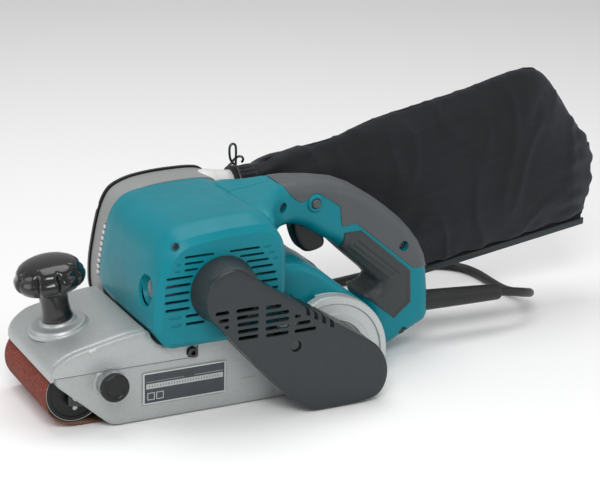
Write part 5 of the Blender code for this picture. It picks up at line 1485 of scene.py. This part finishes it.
def make_handle():
    out = eased(HANDLE_OUT, 1, 3.0)
    top_edge = grown_points(1, 12)
    lower = [(196.0, 171.3), (202, 163), (208, 157), (212.5, 154.9)] + arc(226, 152.5, 8.9, 150, 42, 10)[::1] + [(236, 156.2), (249.3, 147), (251.5, 128.8), (266, 129.5), (323, 81.5), (341.8, 79.3)]
    grip_top = lower + [p for p in top_edge[::-1] if p[0] > 197]
    in0 = len(HANDLE_TOP) + len(HANDLE_REAR)
    inner_edge = grown_points(in0 + 4, in0 + 12)
    grip_low = [(254.5, 122.5), (271, 122.5), (320.5, 79.5), (322, 50), (306, 37), (284.5, 54.6), (276.2, 60.4)] + inner_edge[1:] + [(253.5, 108.6)]
    ribs = []
    for k, (t0, t1) in enumerate(((0.02, 1.0), (0.0, 0.96), (0.0, 0.9))):
        a, b = Vector((267.5, 114.5)), Vector((309.5, 79.0))
        d = (b - a).normalized()
        n = Vector((-d.y, d.x)) * -1.0
        if n.y > 0:
            n = -n
        p, q = a + (b - a) * t0 + n * 4.3 * k, a + (b - a) * t1 + n * 4.3 * k
        w = n * 0.95
        ribs.append(([tuple(p - w), tuple(q - w), tuple(q + d * 0.9), tuple(q + w), tuple(p + w), tuple(p - d * 0.9)], -0.75, 0.7))
    frame_loop = grow(grip_low, -2.4)
    for side, label in ((-1, "left"), (1, "right")):
        facing = side
        y_face, y_mid = side * 22.0, side * 0.15
        half = relief("handle_shell_" + label, out, y_face, y_mid, facing, r=12.0, r_depth=11.0, round_to=HANDLE_OVER, own=0.3, spacing=3.2, edge=1.8, steps=3, shape=neck(side),
                      levels=[(grow(lower + [p for p in top_edge[::-1] if p[0] > 197], 0.4), 0.0, 0.3)])
        slot_cut = rounded_block("cut_trigger", (207.5, -10.2, 88), (251, 10.2, 145), 1.2, 3)
        cuts = [slot_cut, lathe("cut_lead", [(0, 12), (6.2, 12), (6.2, -12), (0, -12)], (344, 0, 40), (1, 0, 0), 32)]
        if side < 0:
            cuts.append(lathe("cut_lock", [(0, 8), (5.6, 8), (5.2, -1.2), (4.4, -1.6), (4.4, -14), (0, -14)], (226, -22.0, 152.5), (0, -1, 0), 40))
            for x, z, y in ((194, 153.5, -23.8), (316.5, 22.0, -22.0), (313, 103.0, -22.0)):
                cuts.append(lathe("cut_screw", [(0, 6), (4.9, 6), (4.4, -0.8), (4.2, -4.6), (0, -4.6)], (x, y, z), (0, -1, 0), 32))
        half = boolean(half, cuts, "DIFFERENCE")
        dress(half, TEAL, "root", ("handle_" + label,), 40.0)
        pad = relief("grip_pad_top_" + label, grip_top, side * 22.8, side * 0.1, facing, r=12.7, r_depth=11.6, round_to=GROWN, own=0.6, spacing=2.6, edge=1.4, steps=2,
                     holes=[ring_of(313, 103, 4.7, 28)] if side < 0 else [])
        dress(pad, GRIP, "root", ("grip_top_" + label,), 46.0)
        low = relief("grip_pad_side_" + label, grip_low, side * 23.0, side * 0.1, facing, r=12.8, r_depth=11.8, round_to=GROWN, own=0.5, spacing=2.4, edge=1.3, steps=2,
                     levels=[(frame_loop, 0.5, 0.6)] + ribs)
        dress(low, GRIP_DARK, "root", ("grip_side_" + label,), 46.0)
    # teal ring round the lock button
    ring = lathe("lock_ring", [(4.6, 1.3), (5.2, 1.7), (6.2, 1.7), (7.2, 1.2), (8.2, -0.2), (8.2, -2.0), (4.5, -2.0)], (226, -22.0, 152.5), (0, -1, 0), 56, True)
    dress(ring, TEAL, "root")
    button = lathe("lock_button_cap", [(0, 3.0), (2.6, 3.0), (3.4, 2.8), (3.9, 2.2), (4.05, 1.4), (4.05, -5), (0, -5)], (226, -22.0, 152.5), (0, -1, 0), 48)
    dress(button, GRIP, "lock_button", ("lock_button",))
    for label, x, z, y, d in (("front", 194, 153.5, -20.6, 1), ("rear", 313, 103.0, -19.6, 1), ("lower", 316.5, 22.0, -18.6, 1)):
        cross = []
        head = lathe("handle_screw_head_" + label, [(0, -1.3), (0.9, -1.3), (1.2, 0.0), (2.2, 0.1), (3.0, -0.2), (3.4, -0.8), (3.5, -1.6), (3.5, -2.6), (0, -2.6)], (x, y + 0.4, z), (0, -1, 0), 40)
        dress(head, DARK_STEEL, "root", ("handle_screw_" + label,))
    # trigger
    trig = [(213, 142), (211.5, 132), (213.5, 122), (217.5, 112), (222.5, 105.5), (229, 103.8), (238, 105.5), (244, 109), (242, 116), (238, 124), (236, 134), (232, 142)]
    soft = eased(trig, 2, 3.0)
    lever = relief("trigger_lever", soft, -8.6, 0.0, -1, r=3.0, spacing=2.2, edge=1.2, steps=2, back="open",
                   levels=[])
    lever = mirrored(lever)
    bore = lathe("cut_pivot", [(0, 14), (2.3, 14), (2.3, -14), (0, -14)], (216, 0, 138), (0, 1, 0), 24)
    lever = boolean(lever, [bore], "DIFFERENCE")
    dress(lever, BLACK, "trigger", ("trigger",), 40.0)


make_handle()


# =================================================================== front roller: alloy shell with dark moulded ends
def make_front_roller():
    crown = [(5.3, 93.0)] + [(22.4, 93.0), (22.8, 93.4), (24.4, 93.6), (24.7, 93.0)]
    crown += [(24.6 + 0.6 * math.sin(math.pi * k / 12.0), 93.0 - 92.0 * k / 12.0) for k in range(1, 12)]
    crown += [(24.7, 1.0), (24.4, 0.4), (22.8, 0.6), (22.4, 1.0), (5.3, 1.0)]
    shell = lathe("front_roller_shell", [(float(r), float(h)) for r, h in crown], (0, -47, ROLL_Z), (0, 1, 0), 72, True)
    dress(shell, ALLOY, "idler_roller", ("idler_roller",))
    for side, label in ((-1, "left"), (1, "right")):
        y = -46.4 if side < 0 else 46.4
        end = relief("front_roller_end_" + label, ring_of(0, ROLL_Z, 24.0, 64), y + side * 0.5, y - side * 1.6, side, r=0.6,
                     holes=[ring_of(0, ROLL_Z, 5.3, 32)] + [ring_of(13.5 * math.cos(math.radians(a)), ROLL_Z + 13.5 * math.sin(math.radians(a)), 2.1, 18) for a in (30, 150, 270)],
                     levels=[(ring_of(0, ROLL_Z, 21.0, 48), 0.6, 0.5), (ring_of(0, ROLL_Z, 9.0, 36), -1.0, 0.6)], spacing=3.2, edge=2.0, hole_edge=1.2)
        dress(end, BLACK, "idler_roller")
        web = lathe("front_roller_web_" + label, [(5.5, -0.6), (22.2, -0.6), (22.2, 0.6), (5.5, 0.6)], (0, side * 43.6, ROLL_Z), (0, 1, 0), 48, True)
        dress(web, BLACK, "idler_roller")


make_front_roller()


# =================================================================== dust bag
BAG_SIDE = [(198, 136.8), (215, 135.5), (250, 127.5), (282, 110.5), (314, 84), (338, 57), (347, edge_line(347) + 0.8), (556, edge_line(556) + 0.8), (560, 92), (563.5, 110),
            (561, 142), (551, 162), (537, 172), (523, 194), (508, 214), (497, 224), (480, 228), (415, 212.5), (335, 197.5), (304, 187.5), (287, 181.5),
            (244, 174.0), (222, 170.0), (198, 165.5)]


def bag_plump(p, d):
    """Half thickness: round at the neck, flatter and fuller towards the back, thin at the clamped lower edge."""
    x, z = p[:, 0], p[:, 1]
    along = smooth((x - 205.0) / 120.0)
    reach = 15.3 + 34.0 * along
    thick = 14.2 + 2.3 * along
    t = np.clip(d / reach, 0, 1)
    h = thick * np.sqrt(np.clip(1 - (1 - t) ** 2, 0, 1)) ** (1.0 + 0.15 * along)
    rail = np.clip((z - (47.0 + (x - 384.0) * RAIL_SLOPE)) / 60.0, 0, 1)
    h = np.minimum(h, 1.2 + 19.0 * rail ** 0.6 + 40.0 * (x < 330))
    return np.maximum(h, 2.9)


def seated(route, ob):
    """The route moved along its in-plane normal until it lies on the bag's outline."""
    co = np.array([v.co for v in ob.data.vertices], float) / MM
    co[:, 0] += MIDDLE
    out = []
    for i, p in enumerate(route):
        a, b = route[max(0, i - 2)], route[min(len(route) - 1, i + 2)]
        d = np.array((b[0] - a[0], b[2] - a[2]))
        d /= max(1e-6, np.linalg.norm(d))
        n = np.array((-d[1], d[0]))
        rel = co[:, [0, 2]] - np.array((p[0], p[2]))
        along, off = rel @ d, rel @ n
        near = (np.abs(along) < 4.5) & (np.abs(off) < 14.0)
        if near.any():
            inner = np.median(off[(np.abs(along) < 6) & (np.abs(off) < 30)])
            far = off[near].min() if inner > 0 else off[near].max()
            far += 1.3 if inner > 0 else -1.3
        else:
            far = 0.0
        out.append(far)
    out = np.array(out)
    for _ in range(3):
        out = np.convolve(np.pad(out, 2, mode="edge"), [0.15, 0.2, 0.3, 0.2, 0.15], "valid")
    moved = []
    for i, p in enumerate(route):
        a, b = route[max(0, i - 2)], route[min(len(route) - 1, i + 2)]
        d = np.array((b[0] - a[0], b[2] - a[2]))
        d /= max(1e-6, np.linalg.norm(d))
        moved.append((p[0] - d[1] * out[i], p[1], p[2] + d[0] * out[i]))
    return moved


def make_bag():
    outline = eased(BAG_SIDE, 1, 6.0)
    p, tri = plan(outline, spacing=5.0, edge=4.0, rings=(0.8, 2.4, 5.0, 8.5))
    d = gap_to(p, outline)
    h = bag_plump(p, d)
    n = len(p)
    verts = np.concatenate([np.stack([p[:, 0], BAG_Y - h, p[:, 1]], 1), np.stack([p[:, 0], BAG_Y + h, p[:, 1]], 1)])
    faces = [tuple(int(i) for i in f) for f in tri] + [tuple(int(i) + n for i in f[::-1]) for f in tri]
    ob = mesh_object("bag_start", verts, faces)
    ob = cleaned(ob, 1e-6)
    mod = ob.modifiers.new("even", "REMESH")
    mod.mode = "VOXEL"
    mod.voxel_size = 0.0042
    ob = applied(ob)
    ob.name = "bag_body"
    me = ob.data
    co = np.array([v.co for v in me.vertices], float)
    mm = co.copy() / MM
    mm[:, 0] += MIDDLE
    away = gap_to(mm[:, [0, 2]], outline)
    rail = mm[:, 2] - (47.0 + (mm[:, 0] - 384.0) * RAIL_SLOPE)
    hold = np.clip(1 - (mm[:, 0] - 212.0) / 26.0, 0, 1)
    hold = np.maximum(hold, np.clip(1 - (rail - 3.0) / 7.0, 0, 1) * (mm[:, 0] > 335))
    hold = np.maximum(hold, 0.82 * np.clip(1 - away / 3.5, 0, 1))
    group = ob.vertex_groups.new(name="held")
    for i, w in enumerate(hold):
        if w > 0.01:
            group.add([i], float(w), "REPLACE")
    cloth = ob.modifiers.new("cloth", "CLOTH")
    st = cloth.settings
    st.quality = 6
    st.mass = 0.25
    st.tension_stiffness = st.compression_stiffness = 18
    st.shear_stiffness = 8
    st.bending_stiffness = 0.35
    st.use_pressure = True
    st.uniform_pressure_force = 4.0
    st.vertex_group_mass = "held"
    st.effector_weights.gravity = 0.0
    cloth.point_cache.frame_start = 1
    cloth.point_cache.frame_end = 22
    for f in range(1, 21):
        SCENE.frame_set(f)
    ob = applied(ob)
    SCENE.frame_set(1)
    me = ob.data
    new = np.array([v.co for v in me.vertices], float)
    if len(new) == len(co):
        move = new - co
        size = np.linalg.norm(move, axis=1)
        cap = 0.007
        move *= (np.minimum(size, cap) / np.maximum(size, 1e-9))[:, None]
        co = co + move
        me.vertices.foreach_set("co", co.astype(np.float32).ravel())
        me.update()
    sub = ob.modifiers.new("fine", "SUBSURF")
    sub.levels = sub.render_levels = 1
    ob = applied(ob)
    me = ob.data
    me.update()
    co = np.array([v.co for v in me.vertices], float)
    nor = np.array([v.normal for v in me.vertices], float)
    mm = co.copy() / MM
    mm[:, 0] += MIDDLE
    from mathutils import noise
    shift = np.zeros(len(co))
    rail = mm[:, 2] - (47.0 + (mm[:, 0] - 384.0) * RAIL_SLOPE)
    for i in range(len(co)):
        x, y, z = mm[i]
        s = 1.0 if y > BAG_Y else -1.0
        u = (x - 200.0)
        v = z - (150.0 + (x - 200.0) * (-0.02))
        # gathers fanning out of the neck
        ang = math.atan2(v, u + 26.0)
        fan = math.sin(ang * 23.0 + 2.2 * noise.noise(Vector((x * 0.012, z * 0.012, s * 3.1)))) * math.exp(-((u - 10.0) / 62.0) ** 2) if u > -6 else 0.0
        # long shallow creases along the bag, and short buckles beside the seams
        a = noise.noise(Vector((x * 0.0085 + 4.0, z * 0.030 - x * 0.004, s * 7.0)))
        ridge = (1.0 - abs(a) * 2.4)
        b = noise.noise(Vector((x * 0.028, z * 0.011, s * 11.0 + 2.0)))
        ridge2 = max(0.0, 1.0 - abs(b) * 5.0)
        end = math.exp(-((x - 556.0) / 26.0) ** 2)
        buckle = math.sin(z * 0.34 + 3.0 * noise.noise(Vector((x * 0.03, z * 0.02, s)))) * end
        low = math.exp(-(rail[i] / 16.0) ** 2) * math.sin(x * 0.19 + 2.4 * noise.noise(Vector((x * 0.02, 1.0, s)))) if x > 340 else 0.0
        shift[i] = 1.5 * fan + 1.0 * ridge + 1.2 * ridge2 + 1.1 * buckle + 0.7 * low
        if u < 12:
            shift[i] *= max(0.25, u / 12.0) if u > 0 else 0.2
    co = co + nor * (shift * MM)[:, None]
    # never thicker than the space it has, and clear of the rail
    y = co[:, 1] / MM
    limit = 20.8
    y = BAG_Y + np.clip(y - BAG_Y, -limit - 0.15 * 0, limit)
    co[:, 1] = y * MM
    floor_z = (47.0 + (mm[:, 0] - 384.0) * RAIL_SLOPE + 0.3) * MM
    co[:, 2] = np.where(mm[:, 0] > 340, np.maximum(co[:, 2], floor_z), co[:, 2])
    me.vertices.foreach_set("co", co.astype(np.float32).ravel())
    me.update()
    socket = lathe("cut_socket", [(0, 60), (13.5, 60), (13.5, -12), (0, -12)], (150, BAG_Y, SPIGOT_Z), (1, 0, 0), 48)
    ob = boolean(ob, [socket], "DIFFERENCE")
    ob.name = "bag_body"
    dress(ob, CLOTH, "dust_bag_set", ("dust_bag",), 80.0)

    # gathered cuff: a sleeve with soft pleats, hemmed at its mouth
    def gather(r, h, a):
        if r < 13.9:
            return r
        return r + 0.45 * math.sin(19 * a + 0.6 * math.sin(3 * a)) * float(smooth(np.array((h - 4.5) / 4.0))) * (1.0 if h < 21 else 0.6)
    cuff = lathe("bag_cuff", [(13.45, 0.2), (13.45, 21.0), (14.6, 22.6), (15.9, 21.5), (15.8, 18.0), (15.2, 13.0), (14.9, 8.6), (15.1, 6.6), (16.0, 5.6), (16.3, 4.0), (16.3, 1.4), (15.8, 0.4), (14.6, 0.0)],
                 (184, BAG_Y, SPIGOT_Z), (1, 0, 0), 152, True, gather)
    dress(cuff, CLOTH, "dust_bag_set", (), 80.0)
    # welted seam round the two panels
    loop = [q for q in smooth_route([BAG_SIDE[i] + (0.0,) for i in range(23, 10, -1)], 5.0)]
    top = [(q[0], BAG_Y, q[1]) for q in loop if q[0] > 214 and not (q[0] > 536 and q[1] < 172)]
    tail = [(q[0], BAG_Y, q[1]) for q in smooth_route([(561, 142, 0), (563.3, 110, 0), (560.2, 92, 0), (556.8, edge_line(556) + 3.0, 0)], 5.0)][1:]
    welt = pipe("bag_welt", seated(top, ob), 1.3, 3)
    dress(pipe("bag_welt_end", seated([(559.6, BAG_Y, 147.0)] + tail, ob), 1.3, 3), CLOTH, "dust_bag_set", (), 80.0)
    dress(welt, CLOTH, "dust_bag_set", (), 80.0)
    under = [(q[0], BAG_Y, q[1]) for q in smooth_route([(216, 135.2, 0), (250, 127.3, 0), (282, 110.3, 0), (314, 83.8, 0), (337.5, 57.6, 0)], 5.0)]
    welt2 = pipe("bag_welt_under", seated(under, ob), 1.3, 3)
    dress(welt2, CLOTH, "dust_bag_set", (), 80.0)
    return ob


make_bag()


# =================================================================== rail and wire clip
def make_rail():
    # a channel section with in-turned lips, swept along the bag's lower edge
    half = [(0.0, -6.5), (3.4, -6.5), (4.2, -6.2), (4.5, -5.6), (4.5, -0.9), (4.3, -0.3), (3.8, 0.0), (2.2, 0.0), (1.7, -0.3), (1.6, -0.9), (1.6, -1.6), (2.8, -2.0), (2.9, -4.6), (2.3, -5.0), (0.0, -5.0)]
    section = half[:-1] + [(0.0, -5.0)] + [(-y, z) for y, z in half[-2:0:-1]]
    stations = [345.0, 345.6] + [350.0 + 206.0 * k / 10.0 for k in range(11)] + [556.4]
    stations = sorted(set(stations))
    verts, faces = [], []
    for i, x in enumerate(stations):
        k = 0.94 if i in (0, len(stations) - 1) else 1.0
        for y, z in section:
            verts.append((x, BAG_Y + y * k, edge_line(x) - 3.2 + (z + 3.2) * k))
    n = len(section)
    for i in range(len(stations) - 1):
        for j in range(n):
            k = (j + 1) % n
            faces.append((i * n + j, i * n + k, (i + 1) * n + k, (i + 1) * n + j))
    faces.append(tuple(range(n)))
    faces.append(tuple(reversed(range((len(stations) - 1) * n, len(stations) * n))))
    ob = cleaned(mesh_object("bag_rail_channel", verts, faces), 0)
    dress(ob, COVER_MAT, "bag_rail", ("bag_rail",), 30.0)
    # the bag's hem, inside the channel
    verts, faces = [], []
    for i in range(43):
        x = 347.0 + 208.6 * i / 42.0
        wave = 0.12 * math.sin(i * 1.7)
        up = 5.4 + 5.0 * float(smooth(np.array((x - 538.0) / 12.0))) + 4.0 * float(smooth(np.array((356.0 - x) / 8.0)))
        for y, z in ((-0.8, up), (0.8, up), (0.8, -1.4), (1.7, -2.6), (1.5, -4.0), (0, -4.5), (-1.5, -4.0), (-1.7, -2.6), (-0.8, -1.4)):
            verts.append((x, BAG_Y + y + wave * (0.3 if z < 0 else 1.0), edge_line(x) + z))
    n = 9
    for i in range(42):
        for j in range(n):
            k = (j + 1) % n
            faces.append((i * n + j, i * n + k, (i + 1) * n + k, (i + 1) * n + j))
    faces.append(tuple(range(n)))
    faces.append(tuple(reversed(range(42 * n, 43 * n))))
    hem = cleaned(mesh_object("bag_hem", verts, faces), 0)
    dress(hem, CLOTH, "dust_bag_set", (), 60.0)


make_rail()


def make_clip():
    """Spring wire: one coil round the cuff, a tall finger loop and a small one."""
    cy = BAG_Y
    tall = [(187.6, cy - 2.0, 168.4), (184.2, cy - 5.0, 171.5), (181.6, cy - 6.6, 176.0), (180.8, cy - 7.0, 182.0), (181.2, cy - 7.0, 186.4), (183.0, cy - 7.0, 188.4),
            (185.0, cy - 7.0, 188.3), (186.6, cy - 7.0, 186.2), (187.0, cy - 7.0, 181.0), (187.2, cy - 6.5, 175.0), (188.0, cy - 4.5, 169.6)]
    ring = []
    for k in range(37):
        t = math.radians(105 + 330 * k / 36.0)
        ring.append((188.2 + 0.9 * k / 36.0, cy + 17.7 * math.cos(t), SPIGOT_Z + 17.7 * math.sin(t)))
    small = [(189.6, cy + 5.0, 169.2), (191.0, cy + 2.0, 172.4), (193.0, cy - 1.0, 174.6), (195.2, cy - 2.4, 174.0), (196.0, cy - 2.6, 171.6), (195.0, cy - 1.6, 169.2)]
    route = smooth_route(tall[:-1] + [(188.1, cy - 4.6, 168.0)] + ring[1:] + small, 1.6)
    ob = pipe("bag_clip_wire", route, 1.05, 4)
    dress(ob, DARK_STEEL, "dust_bag_set", ("bag_clip",), 80.0)


make_clip()


# =================================================================== tension spring: conical, so it can close almost flat
def make_spring():
    route = []
    for k in range(91):
        t = k / 90.0
        turn = 2 * math.pi * 3.1 * t
        r = 5.9 + 1.7 * t
        x = 42.0 + 8.7 * float(smooth(np.array(t * 1.06 - 0.03)))
        route.append((x, r * math.cos(turn), ROLL_Z + 0.5 + r * math.sin(turn)))
    ob = pipe("tension_coil", route, 0.72, 4)
    dress(ob, STEEL, "root", ("tension_spring",), 80.0)
    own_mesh(ob)


make_spring()


# =================================================================== carried-over nodes: finish; soften() is defined here but not called
def soften(node, width=0.35, segments=2, angle=42.0):
    ob = NODES[node]
    mod = ob.modifiers.new("edge", "BEVEL")
    mod.width = width * MM
    mod.segments = segments
    mod.limit_method = "ANGLE"
    mod.angle_limit = math.radians(angle)
    mod.harden_normals = False


FINISH = {
    "platen_plate": STEEL, "platen_pad": CORK, "drive_roller": ROLLER_RUBBER, "drive_shaft": STEEL, "large_pulley": ALLOY,
    "roller_bearing_left": STEEL, "roller_bearing_right": STEEL, "idler_roller": ALLOY, "idler_axle": STEEL, "idler_fork": DARK_STEEL,
    "idler_carriage": STEEL, "tension_spring": STEEL, "knob_bolt": DARK_STEEL, "tension_lever": DARK_STEEL, "lever_pin": STEEL,
    "motor_bearing_left": STEEL, "motor_bearing_right": STEEL, "field_stator": LAMINATED, "armature": LAMINATED, "motor_shaft": STEEL,
    "commutator": COPPER, "small_pulley": ALLOY, "brush_holder_front": BRASS, "brush_holder_rear": BRASS, "fan": FAN,
    "poly_v_belt": VBELT, "cover_screw": DARK_STEEL, "switch_body": BLACK,
}
SHOWN = sorted(n for n, o in NODES.items() if not o.hide_render)
for name in SHOWN:
    ob = NODES[name]
    material = FINISH.get(name, BLACK)
    if name not in FINISH:
        print("no finish listed for", name)
    if not ob.data.materials:
        ob.data.materials.append(material)
    for k in range(len(ob.material_slots)):
        ob.material_slots[k].link = "OBJECT"
        ob.material_slots[k].material = material

# =================================================================== floor and light
def make_stage():
    me = bpy.data.meshes.new("floor")
    size = 6.0
    me.from_pydata([(-size, -size, -0.0002), (size, -size, -0.0002), (size, size, -0.0002), (-size, size, -0.0002)], [], [(0, 1, 2, 3)])
    floor = bpy.data.objects.new("floor", me)
    SCENE.collection.objects.link(floor)
    mat = bpy.data.materials.new("floor_paper")
    mat.use_nodes = True
    sh = mat.node_tree.nodes["Principled BSDF"]
    sh.inputs["Base Color"].default_value = (0.93, 0.93, 0.93, 1)
    sh.inputs["Roughness"].default_value = 0.9
    floor.data.materials.append(mat)
    world = bpy.data.worlds.new("studio")
    SCENE.world = world
    world.use_nodes = True
    world.node_tree.nodes["Background"].inputs["Color"].default_value = (1.0, 1.0, 1.0, 1)
    world.node_tree.nodes["Background"].inputs["Strength"].default_value = 0.42

    def lamp(name, place, target, power, size, size_y=None, colour=(1, 1, 1)):
        data = bpy.data.lights.new(name, "AREA")
        data.energy = power
        data.shape = "RECTANGLE"
        data.size = size
        data.size_y = size_y or size
        data.color = colour
        ob = bpy.data.objects.new(name, data)
        SCENE.collection.objects.link(ob)
        ob.location = place
        ob.rotation_euler = (Vector(target) - Vector(place)).to_track_quat("-Z", "Y").to_euler()
        return ob
    lamp("key", (-0.55, -1.25, 1.35), (0.05, 0, 0.08), 16.0, 0.9, 0.6)
    lamp("top", (0.15, 0.35, 1.6), (0.08, 0, 0.08), 11.0, 1.4, 1.0)
    lamp("left", (-1.6, 0.25, 0.75), (0.0, 0, 0.1), 5.0, 0.8, 1.1)
    lamp("right", (1.5, -0.9, 0.8), (0.1, 0, 0.08), 3.5, 0.9, 0.9)


make_stage()
SCENE.view_settings.view_transform = "Standard"
SCENE.view_settings.look = "None"

bpy.context.view_layer.update()
